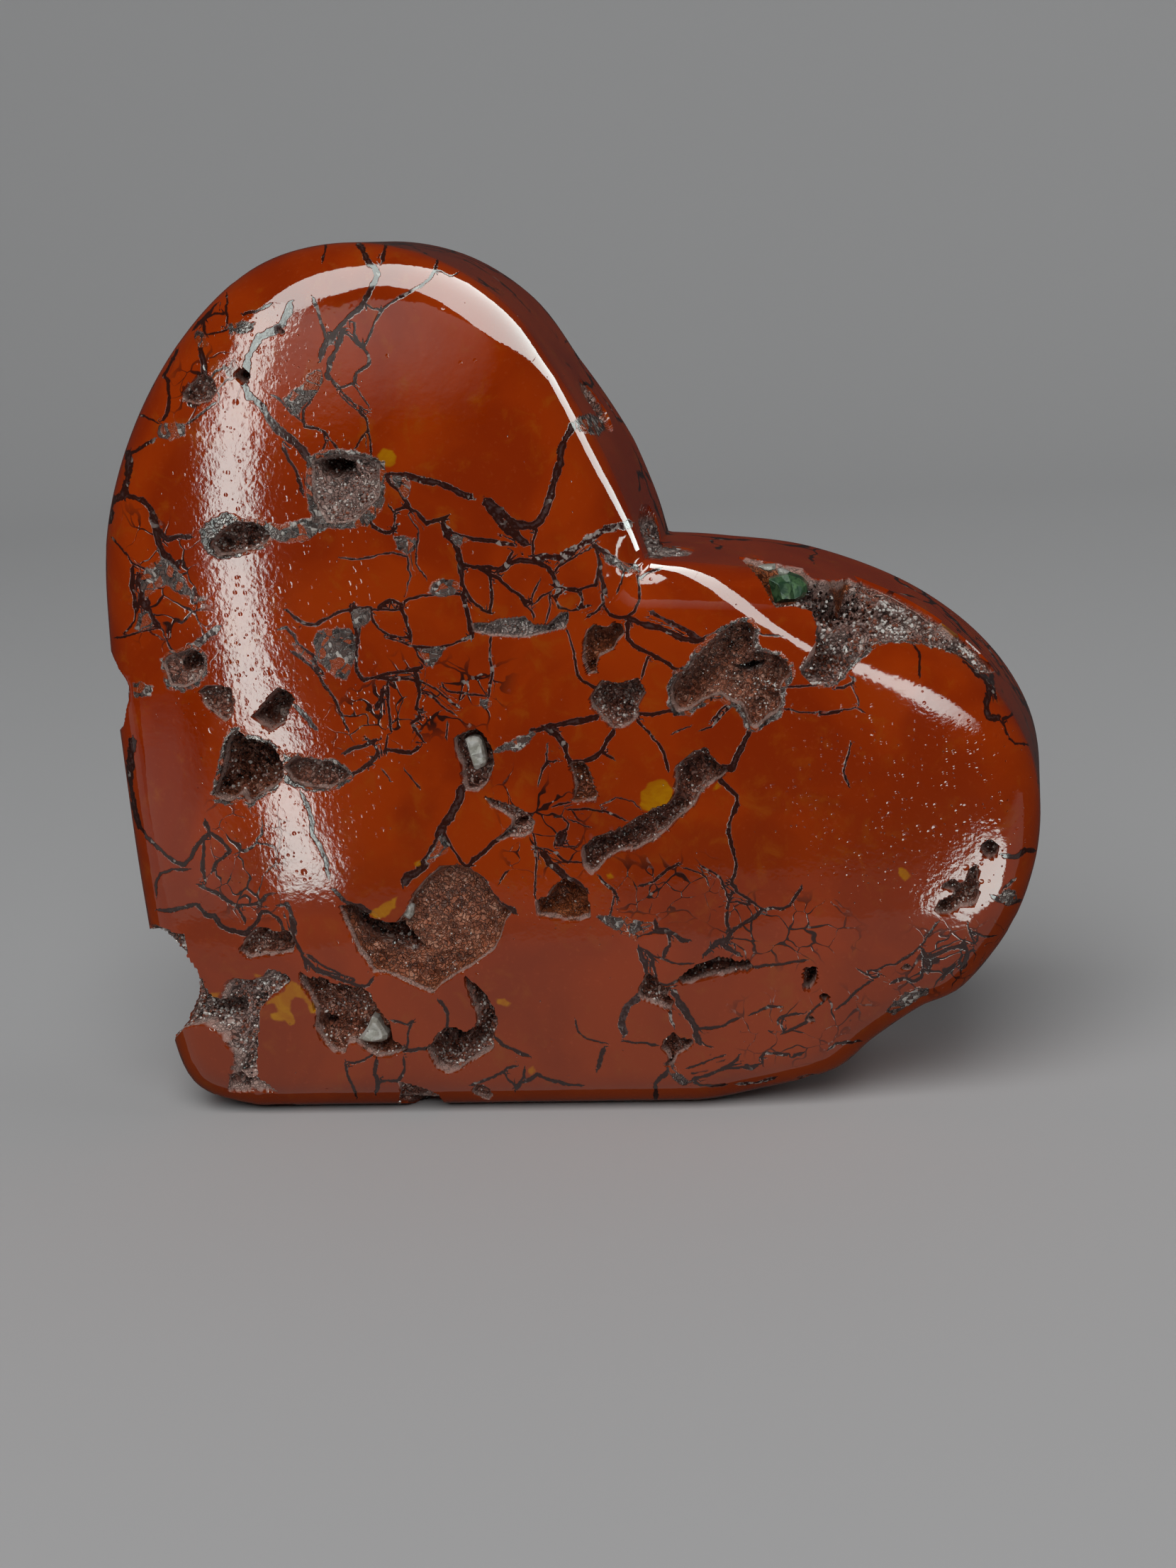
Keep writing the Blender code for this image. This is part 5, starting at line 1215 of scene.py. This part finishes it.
# Highlights: bright ribbons that only show as gloss on the polish. Each stands this many millimetres
# from the stone, where the polish mirrors it into the camera at the pixels read here, row by row. The
# third number of each is the ribbon's glow there.
RIBBON_COLOUR = (0.86, 0.99, 0.955)
GRID_STEPS, SEARCH_ROUNDS, NUDGE, LONGEST_STEP = 81, 8, 1e-4, 0.02
HIGHLIGHTS = {
    "left_band": (60.0, [[(398, 1262, 7.0), (478, 1256, 7.0)], [(394, 1235, 11.5), (474, 1232, 11.5)],
     [(388, 1190, 11.5), (452, 1190, 11.5)], [(380, 1150, 11.5), (438, 1150, 11.5)],
     [(372, 1110, 11.5), (430, 1110, 11.5)], [(352, 1050, 11.0), (428, 1050, 11.0)],
     [(332, 1000, 11.5), (400, 990, 11.5)], [(322, 950, 11.5), (380, 950, 11.5)],
     [(314, 890, 11.5), (372, 890, 11.5)], [(308, 830, 11.5), (364, 830, 11.5)],
     [(299, 770, 11.5), (360, 770, 11.5)], [(296, 710, 11.5), (354, 710, 11.5)],
     [(295, 650, 11.5), (356, 650, 11.5)], [(298, 600, 11.5), (361, 600, 11.5)],
     [(306, 565, 11.5), (366, 568, 11.5)], [(320, 520, 11.0), (374, 530, 11.0)],
     [(334, 485, 11.0), (380, 498, 11.0)], [(352, 453, 10.5), (394, 468, 10.5)],
     [(378, 425, 10.5), (420, 440, 10.5)]]),
    "arch": (12.0, [[(378, 425, 9.0), (420, 440, 9.0)], [(408, 403, 9.0), (448, 424, 9.0)],
     [(450, 386, 9.0), (480, 411, 9.0)], [(500, 376, 9.0), (515, 405, 9.0)],
     [(550, 373, 9.0), (554, 403, 9.0)], [(592, 376, 9.0), (588, 411, 9.0)],
     [(630, 386, 9.0), (622, 427, 9.0)], [(662, 401, 9.0), (648, 444, 9.0)],
     [(692, 422, 8.6), (674, 464, 8.6)], [(716, 443, 8.6), (700, 480, 8.6)],
     [(738, 468, 8.6), (724, 494, 8.6)], [(759, 499, 8.6), (751, 512, 8.6)]]),
    "notch_line": (1.2, [[(759, 499, 8.5), (751, 512, 8.5)], [(781, 531, 8.5), (774, 537, 8.5)],
     [(800, 566, 8.5), (793, 572, 8.5)], [(816, 597, 8.5), (808, 602, 8.5)],
     [(833, 631, 8.5), (825, 636, 8.5)], [(851, 666, 8.5), (843, 670, 8.5)],
     [(872, 706, 8.5), (865, 710, 8.5)], [(890, 745, 8.5), (884, 748, 8.5)],
     [(902, 775, 8.5), (897, 778, 8.5)]]),
    "right_band_start": (1.0, [[(918, 795, 9.0), (916, 801, 9.0)], [(940, 798, 9.0), (938, 804, 9.0)],
     [(961, 800, 9.0), (957, 808, 9.0)], [(985, 806, 9.0), (979, 818, 9.0)]]),
    "right_band": (5.0, [[(985, 806, 9.0), (979, 818, 9.0)], [(1007, 815, 9.5), (999, 829, 9.5)],
     [(1031, 831, 9.5), (1020, 846, 9.5)], [(1056, 850, 9.5), (1045, 863, 9.5)],
     [(1081, 871, 9.5), (1071, 881, 9.5)], [(1096, 883, 9.5), (1088, 891, 9.5)],
     [(1112, 893, 9.5), (1106, 900, 9.5)], [(1130, 904, 9.5), (1124, 912, 9.5)],
     [(1148, 914, 9.5), (1142, 922, 9.5)]]),
    "right_band_end": (60.0, [[(1186, 926, 10.0), (1180, 938, 10.0)],
     [(1230, 940, 10.0), (1224, 957, 10.0)], [(1265, 953, 10.0), (1258, 971, 10.0)],
     [(1300, 968, 10.0), (1292, 988, 10.0)], [(1330, 983, 9.0), (1324, 1002, 9.0)],
     [(1356, 1000, 7.0), (1348, 1016, 7.0)], [(1380, 1020, 2.0), (1372, 1028, 2.0)]]),
    "low_patch": (60.0, [[(1388, 1176, 10.0), (1410, 1172, 10.0)], [(1372, 1198, 10.0), (1420, 1196, 10.0)],
     [(1354, 1220, 10.0), (1418, 1225, 10.0)], [(1332, 1242, 10.0), (1412, 1250, 10.0)],
     [(1314, 1262, 10.0), (1400, 1275, 10.0)], [(1301, 1280, 9.0), (1375, 1292, 9.0)],
     [(1318, 1290, 6.0), (1345, 1297, 6.0)]]),
    "veil": (60.0, [[(425, 442, 1.2), (520, 425, 1.2), (600, 430, 1.1), (660, 455, 0.7), (705, 490, 0.0)],
     [(395, 475, 1.1), (500, 475, 1.1), (590, 480, 0.9), (650, 490, 0.5), (705, 515, 0.0)],
     [(384, 515, 0.9), (490, 520, 0.8), (580, 525, 0.6), (650, 530, 0.3), (700, 540, 0.0)],
     [(378, 560, 0.5), (480, 560, 0.4), (570, 565, 0.2), (640, 570, 0.1), (690, 570, 0.0)],
     [(375, 610, 0.0), (470, 610, 0.0), (560, 600, 0.0), (640, 600, 0.0), (690, 600, 0.0)]]),
    "left_veil": (60.0, [[(195, 960, 0.0), (240, 960, 0.0), (290, 960, 0.0)], [(203, 1050, 0.5),
     (245, 1050, 0.4), (295, 1060, 0.0)], [(210, 1130, 0.6), (250, 1130, 0.5), (320, 1150, 0.2)],
     [(222, 1210, 0.6), (270, 1215, 0.5), (350, 1220, 0.3)], [(240, 1290, 0.5), (300, 1290, 0.5),
     (370, 1290, 0.4)]])}


def polish_at(wanted):
    """Places on the polished front that show at these pixels, and the front's direction at each."""
    steps = np.linspace(-0.995, 0.995, GRID_STEPS)
    cube = np.array([(across, -1.0, up) for across in steps for up in steps])
    shown = to_pixels(body_places(cube))[0]
    cube = cube[[np.hypot(*(shown - pixel).T).argmin() for pixel in wanted]]
    for _ in range(SEARCH_ROUNDS):
        here = body_places(cube)
        ways = [body_places(cube + np.array(way) * NUDGE) for way in ((1, 0, 0), (0, 0, 1))]
        slopes = np.stack([(to_pixels(way)[0] - to_pixels(here)[0]) / NUDGE for way in ways], 2)
        miss = np.linalg.solve(slopes, (wanted - to_pixels(here)[0])[:, :, None])[:, :, 0]
        cube[:, [0, 2]] = np.clip(cube[:, [0, 2]] + np.clip(miss, -LONGEST_STEP, LONGEST_STEP), -0.999, 0.999)
    facing = np.cross(ways[0] - here, ways[1] - here)
    return here, facing / np.linalg.norm(facing, axis=1)[:, None]


glowing, tree, shader = start_material("highlight_glow", 1.0)
tree.nodes.remove(shader)
emission = node(tree, "Emission", {"Color": (*RIBBON_COLOUR, 1.0), "Strength": attribute(tree, "glow")})
tree.links.new(emission.outputs["Emission"], tree.nodes["Material Output"].inputs["Surface"])
for name, (gap, rows) in HIGHLIGHTS.items():
    marks = np.array([mark for row in rows for mark in row], float)
    here, facing = polish_at(marks[:, :2])
    sight = here - np.array(CAMERA_PLACE)
    sight /= np.linalg.norm(sight, axis=1)[:, None]
    mirrored = sight - 2 * (sight * facing).sum(1)[:, None] * facing
    bm = bmesh.new()
    verts = [bm.verts.new(place) for place in (here + gap * mirrored) * MM]
    wide = len(rows[0])
    for first in range(len(rows) - 1):
        for a in range(first * wide, first * wide + wide - 1):
            bm.faces.new([verts[i] for i in (a, a + 1, a + wide + 1, a + wide)])
    bmesh.ops.triangulate(bm, faces=bm.faces)
    ribbon = finished_piece(bm, name)
    keep_marks(ribbon.data, {"glow": marks[:, 2]})
    ribbon.data.materials.append(glowing)
    ribbon.visible_camera = ribbon.visible_diffuse = ribbon.visible_shadow = False


# Druse: crusts of quartz crystals, 0.1 to 0.4 mm, that line the hollows: one piece for each crust of
# the body and one for the small hollows. Each crystal is a six-sided prism with a pointed end, and
# has a tint of its own about the hollow's. Spots of the camera's frame, each with its reach in pixels,
# have crystals of a tint of their own: white, grey, brown, or near-black as painted shade where they lie in
# shadow.
CRUSTS = {
    "square_pit_druse": ("square_pit", "square_pit_hole"), "oval_pit_druse": ("oval_pit",),
    "triangle_pit_druse": ("triangle_pit", "triangle_arm"),
    "great_hollow_druse": ("great_hollow", "great_hollow_dark_part"),
    "crescent_hollow_druse": ("crescent_hollow",), "corner_hollow_druse": ("corner_hollow",),
    "right_hollow_druse": ("right_hollow", "right_hollow_hole"), "channel_druse": ("channel",),
    "groove_druse": ("groove",), "back_pit_1_druse": ("back_pit_1",),
    "back_pit_4_druse": ("back_pit_4",), "back_pit_5_druse": ("back_pit_5",)}
SPOT_TINTS = {
    0.95: [(380, 1378, 14), (957, 1512, 18), (745, 880, 12), (787, 878, 16), (276, 1258, 10),
     (604, 1241, 5), (596, 1252, 6), (594, 1262, 7), (600, 1275, 6), (625, 1240, 7), (1051, 1365, 9),
     (735, 1326, 6), (1262, 850, 22), (1282, 868, 14), (1248, 888, 10), (1270, 892, 12), (1320, 905, 14),
     (1350, 915, 14), (1376, 928, 10), (1182, 818, 8), (1158, 826, 9), (1200, 872, 10), (1327, 1379, 5),
     (1277, 1395, 4), (655, 1046, 4), (664, 1090, 6), (1050, 905, 7), (1070, 965, 10), (1086, 974, 11),
     (1075, 992, 10), (1090, 960, 8), (1058, 988, 6), (444, 700, 8), (445, 722, 7), (462, 690, 7),
     (442, 665, 6), (478, 646, 6), (512, 650, 5), (868, 975, 7), (882, 985, 6), (925, 1142, 5),
     (945, 1128, 5)],
    # Near-black: painted shade on crystals that lie in shadow.
    -0.4: [(1160, 848, 26), (1190, 858, 26), (1216, 862, 16), (1040, 900, 22), (1050, 945, 10),
     (1064, 944, 12), (880, 1085, 8), (862, 1140, 20), (905, 1122, 16), (935, 1092, 12), (835, 1165, 16),
     (375, 1060, 24), (340, 1050, 18), (315, 1100, 12), (345, 1095, 12), (395, 985, 12), (375, 1000, 10),
     (500, 1300, 24), (530, 1320, 20), (555, 1345, 22), (600, 1350, 14), (620, 1365, 12),
     (675, 1250, 10), (690, 1262, 9), (640, 1450, 16), (665, 1425, 14), (345, 1520, 16), (370, 1400, 8),
     (470, 1440, 10), (455, 1410, 9), (464, 718, 6), (458, 733, 7), (471, 736, 6), (482, 714, 5),
     (536, 664, 6), (505, 700, 6), (520, 674, 6)],
    0.05: [(520, 716, 14), (503, 722, 10), (966, 974, 22), (990, 970, 16), (1002, 984, 12)],
    0.12: [(1105, 885, 26), (1130, 915, 22), (1160, 935, 22), (1105, 865, 16), (1085, 835, 12)],
    0.30: [(1300, 905, 12), (1240, 830, 20), (1225, 845, 14), (1010, 920, 20), (1035, 930, 12),
     (1086, 930, 14), (1100, 944, 12), (985, 1075, 16), (960, 1095, 14), (1000, 1090, 10)],
    0.55: [(925, 1168, 9), (945, 1153, 8), (905, 1180, 9), (886, 1192, 8), (520, 655, 8), (508, 680, 8)]}
# How far crystals lean, how deep a hollow has to be to hold them, and how deep they sit in it by radii.
CRYSTAL_LEAN, LEAST_DEPTH, SUNK = 0.45, 0.25, 0.3
# How tints vary: from crystal to crystal and in waves; the share of white ones, partly white quartz and
# partly painted glints; and the share of those in a spot that take its tint, and how they vary.
TINT_SPREAD, TINT_WAVE, WHITE_QUARTZ_AND_GLINT_SHARE, SPOT_SHARE, SPOT_SPREAD = 0.26, 0.45, 0.14, 0.7, 0.12
SHORTEST, LONGEST, DARKEST, WHITEST = 0.7, 1.5, -0.4, 1.0

bm = bmesh.new()
bmesh.ops.create_cone(bm, segments=6, radius1=1.0, radius2=0.92, depth=1.6, cap_ends=True)
caps = sorted((f for f in bm.faces if len(f.verts) == 6), key=lambda f: f.calc_center_median().z)
bmesh.ops.delete(bm, geom=[caps[0]], context="FACES_ONLY")
tip = bmesh.ops.poke(bm, faces=[caps[1]])["verts"]
bmesh.ops.translate(bm, verts=tip, vec=(0.0, 0.0, 0.75))
bmesh.ops.triangulate(bm, faces=bm.faces)
bmesh.ops.recalc_face_normals(bm, faces=bm.faces)
bm.verts.index_update()
crystal_corners = np.array([v.co[:] for v in bm.verts])
crystal_faces = np.array([[v.index for v in f.verts] for f in bm.faces])
bm.free()

heart_faces = np.empty(3 * len(heart_mesh.polygons), int)
heart_mesh.polygons.foreach_get("vertices", heart_faces)
heart_faces = heart_faces.reshape(-1, 3)
corners = carved[heart_faces]
slant = np.cross(corners[:, 1] - corners[:, 0], corners[:, 2] - corners[:, 0])
face_area = np.linalg.norm(slant, axis=1) / 2
slant /= 2 * np.maximum(face_area, 1e-9)[:, None]
face_depth = depth[heart_faces].min(1)


def scattered(rng, share_of_faces, count):
    """Random places on the heart's skin, evenly by area, with the skin's direction and depth there."""
    chance = face_area * share_of_faces
    faces = rng.choice(len(chance), count, p=chance / chance.sum())
    share = rng.dirichlet((1, 1, 1), count)
    middles = (corners[faces] * share[:, :, None]).sum(1)
    return faces, middles, slant[faces], (depth[heart_faces[faces]] * share).sum(1)


def crystals(rng, middles, axes, radii, lengths):
    """Corners and faces of one crystal at each place, as arrays for one joined mesh."""
    turn = rng.normal(size=(len(middles), 3))
    side = np.cross(axes, turn)
    side /= np.linalg.norm(side, axis=1)[:, None]
    other = np.cross(axes, side)
    frames = np.stack([side * radii[:, None], other * radii[:, None], axes * lengths[:, None]], 1)
    spread = np.einsum("kc,nca->nka", crystal_corners, frames) + middles[:, None]
    faces = crystal_faces + len(crystal_corners) * np.arange(len(middles))[:, None, None]
    return spread.reshape(-1, 3), faces.reshape(-1, 3)


def joined_piece(name, spread, faces, marks, material):
    """Object of one joined mesh, with a value for each corner under each mark's name."""
    mesh = bpy.data.meshes.new(name)
    mesh.from_pydata((np.clip(spread, low, high) * MM).tolist(), [], faces.tolist())
    keep_marks(mesh, marks)
    mesh.materials.append(material)
    piece = bpy.data.objects.new(name, mesh)
    bpy.context.collection.objects.link(piece)
    return piece


druse, tree, shader = start_material("quartz_druse", 0.14)
tint, place = attribute(tree, "tint"), millimetres(tree)
# Tints below 0 are near-black: painted shade on crystals that lie in shadow.
colour = blend_colours(step_up(tint, -0.35, 0.0), (0.012, 0.005, 0.004), (0.090, 0.022, 0.010))
colour = blend_colours(step_up(tint, 0.0, 0.35), colour, (0.330, 0.110, 0.066))
colour = blend_colours(step_up(tint, 0.35, 0.7), colour, (0.360, 0.275, 0.255))
colour = blend_colours(step_up(tint, 0.72, 1.0), colour, (0.88, 0.85, 0.80))
colour = blend_colours(times(step_up(cloudy(place, 0.9, 3.0), 0.5, 0.72), 0.6), colour, (0.10, 0.030, 0.016))
tree.links.new(colour, shader.inputs["Base Color"])
shader.inputs["IOR"].default_value = 1.54

lined = {name for hollows in CRUSTS.values() for name in hollows}
CRUSTS["small_hollows_druse"] = tuple(name for name in hollow_names if name not in lined)
linings = np.array([LININGS.get(name, OTHER_LINING) for name in hollow_names])
face_hollow = np.where((hollow_of[heart_faces] == hollow_of[heart_faces[:, :1]]).all(1),
                       hollow_of[heart_faces[:, 0]], -1)
for seed, (name, hollows) in enumerate(CRUSTS.items()):
    rng = np.random.default_rng(400 + seed)
    own = np.isin(face_hollow, [hollow_names.index(hollow) for hollow in hollows])
    own &= (face_depth > LEAST_DEPTH) & ~red_ledge[heart_faces].any(1)
    crowd = np.where(own, linings[face_hollow, 1], 0)
    count = int((crowd * face_area).sum())
    faces, middles, axes, depths = scattered(rng, crowd, count)
    tints, _, least, most = linings[face_hollow[faces]].T
    axes = axes + rng.normal(size=axes.shape) * CRYSTAL_LEAN
    axes /= np.linalg.norm(axes, axis=1)[:, None]
    radii = (least + (most - least) * rng.random(count) ** 2) * np.clip(depths, 0.45, 1.0)
    tints = tints + TINT_SPREAD * rng.normal(size=count) + TINT_WAVE * wavy(middles, 0.6, seed)
    # White crystals: partly real white quartz, partly painted glints.
    tints[rng.random(count) < WHITE_QUARTZ_AND_GLINT_SHARE] = WHITEST
    in_front = middles[:, 1] < 0
    pixels_here = to_pixels(middles)[0]
    for spot_tint, spots in SPOT_TINTS.items():
        for x, y, far in spots:
            close = (np.hypot(*(pixels_here - (x, y)).T) < far) & in_front & (rng.random(count) < SPOT_SHARE)
            tints[close] = spot_tint + SPOT_SPREAD * rng.normal(size=close.sum())
    spread, faces = crystals(rng, middles - axes * radii[:, None] * SUNK, axes, radii,
                             radii * rng.uniform(SHORTEST, LONGEST, count))
    marks = {"tint": np.repeat(np.clip(tints, DARKEST, WHITEST), len(crystal_corners))}
    piece = joined_piece(name.replace("druse", "crystals"), spread, faces, marks, druse)
    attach(piece, "root")
    if name != "small_hollows_druse":
        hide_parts(name)


# Chips: small broken stones lodged in the hollows, one green and the others white or grey. Each is
# cut from its outline in the camera's frame, with a front face of its own and chamfered edges.
# For each: the front's place in Y and its thickness in mm, how much smaller the front is, the outline.
CHIPS = {
    "green_chip": (-9.9, 2.2, 0.62, [(1084, 817), (1101, 813), (1112, 810), (1128, 816), (1138, 825),
     (1139, 835), (1134, 843), (1121, 849), (1108, 850), (1093, 851), (1088, 834)]),
    "white_sliver_1": (-8.7, 0.9, 0.6, [(1069, 799), (1080, 797), (1093, 796), (1094, 803), (1086, 806),
     (1076, 804)]),
    "white_sliver_2": (-8.3, 0.8, 0.6, [(1096, 803), (1103, 802), (1113, 807), (1131, 818), (1125, 818),
     (1109, 811), (1103, 813), (1098, 810)]),
    "white_pellet": (-13.2, 1.2, 0.76, [(656, 1043), (660, 1040), (668, 1038), (676, 1040), (680, 1045),
     (684, 1060), (686, 1073), (684, 1080), (673, 1086), (669, 1084), (663, 1066)]),
    "white_chip": (-12.4, 1.8, 0.66, [(525, 1433), (533, 1437), (541, 1450), (547, 1459), (546, 1466),
     (540, 1469), (525, 1470), (513, 1469), (506, 1465), (512, 1458), (519, 1447)]),
    "quartz_bit_1": (-13.2, 0.8, 0.7, [(580, 1235), (588, 1228), (598, 1234), (596, 1241), (590, 1246),
     (581, 1245)]),
    "quartz_bit_2": (-13.1, 1.2, 0.62, [(561, 1287), (566, 1279), (573, 1267), (579, 1270), (584, 1278),
     (583, 1291), (578, 1297), (572, 1294)])}
# Width of a chip's chamfers in mm, how rough its front is, and how far the green one leans.
CHIP_EDGE, CHIP_WAVE, GREEN_LEAN = 0.05, 0.24, 0.25
# The green chip has a pale ridge, a painted highlight, read as pixels too, that fades over this many
# millimetres.
GREEN_HIGHLIGHT_RIDGE, HIGHLIGHT_REACH = [(1109, 814), (1112, 828), (1114, 844)], 0.35


def from_pixels(pixels, y):
    """Places in millimetres on the plane at this Y that show at the pixels."""
    across, up = ((np.array(pixels, float) - (FRAME_WIDE / 2, FRAME_HIGH / 2)) / FOCAL_PIXELS).T
    ray = np.array(forward) + across[:, None] * np.array(camera_right) - up[:, None] * np.array(camera_up)
    return np.array(CAMERA_PLACE) + ray * ((y - CAMERA_PLACE[1]) / ray[:, 1])[:, None]


green, tree, shader = start_material("green_chip_stone", 0.22)
place = millimetres(tree)
colour = blend_colours(step_up(cloudy(place, 1.4, 4.0, 1.0), 0.38, 0.66), (0.020, 0.060, 0.028),
                       (0.10, 0.20, 0.085))
# Painted highlight: the green chip turns pale along its ridge.
colour = blend_colours(step_up(attribute(tree, "pale"), 0.35, 0.95), colour, (0.44, 0.56, 0.36))
tree.links.new(colour, shader.inputs["Base Color"])
shader.inputs["IOR"].default_value = 1.54

white, tree, shader = start_material("white_chip_stone", 0.3)
place = millimetres(tree)
colour = blend_colours(step_up(cloudy(place, 1.1, 4.0, 0.8), 0.36, 0.66), (0.34, 0.33, 0.28),
                       (0.62, 0.62, 0.58))
colour = blend_colours(step_up(cloudy(place, 3.2, 3.0, 1.2), 0.60, 0.72), colour, (0.20, 0.19, 0.17))
tree.links.new(colour, shader.inputs["Base Color"])
white_bump = node(tree, "Bump", {"Height": cloudy(place, 3.0, 4.0), "Distance": 0.06 * MM, "Strength": 1.0})
tree.links.new(white_bump.outputs["Normal"], shader.inputs["Normal"])
shader.inputs["IOR"].default_value = 1.5
shader.inputs["Subsurface Weight"].default_value = 0.25
shader.inputs["Subsurface Radius"].default_value = (0.6 * MM, 0.55 * MM, 0.5 * MM)
shader.inputs["Subsurface Scale"].default_value = 1.0

for name, (front, thick, shrink, rim) in CHIPS.items():
    rim_places = from_pixels(rim, front + 0.3 * thick)
    middle = rim_places.mean(0)
    is_green = name == "green_chip"
    bm = bmesh.new()
    ring = [bm.verts.new(Vector(p) * MM) for p in rim_places]
    back = bm.faces.new(ring)
    face = bmesh.ops.extrude_face_region(bm, geom=[back], use_keep_orig=True)
    top = [v for v in face["geom"] if isinstance(v, bmesh.types.BMVert)]
    sides = Matrix.Diagonal((shrink, 1.0, shrink)).to_4x4()
    shift = Vector((GREEN_LEAN * is_green, 0.0, 0.0))
    for v in top:
        place = v.co / MM - Vector(middle)
        v.co = (sides @ place + Vector(middle) + shift) * MM
        v.co.y = (front + CHIP_WAVE * thick * noise.noise(v.co / MM * 1.7)) * MM
    deep = bmesh.ops.extrude_face_region(bm, geom=[back])
    bottom = [v for v in deep["geom"] if isinstance(v, bmesh.types.BMVert)]
    bmesh.ops.translate(bm, verts=bottom, vec=(0.0, 0.7 * thick * MM, 0.0))
    bmesh.ops.recalc_face_normals(bm, faces=bm.faces)
    bmesh.ops.bevel(bm, geom=bm.edges[:], offset=CHIP_EDGE * MM, segments=2, profile=0.5, affect="EDGES",
                    material=-1)
    bmesh.ops.triangulate(bm, faces=bm.faces)
    piece = finished_piece(bm, name + "_stone")
    spots = np.array([v.co[:] for v in piece.data.vertices]) / MM
    # The pale mark is a painted highlight along the green chip's ridge.
    ridge = from_pixels(GREEN_HIGHLIGHT_RIDGE, front)
    far = np.linalg.norm(spots[:, None] - ridge, axis=2).min(1) if is_green else np.ones(len(spots))
    keep_marks(piece.data, {"pale": np.clip(1.0 - far / HIGHLIGHT_REACH, 0, 1)})
    piece.data.materials.append(green if is_green else white)
    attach(piece, "root")
    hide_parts(name)
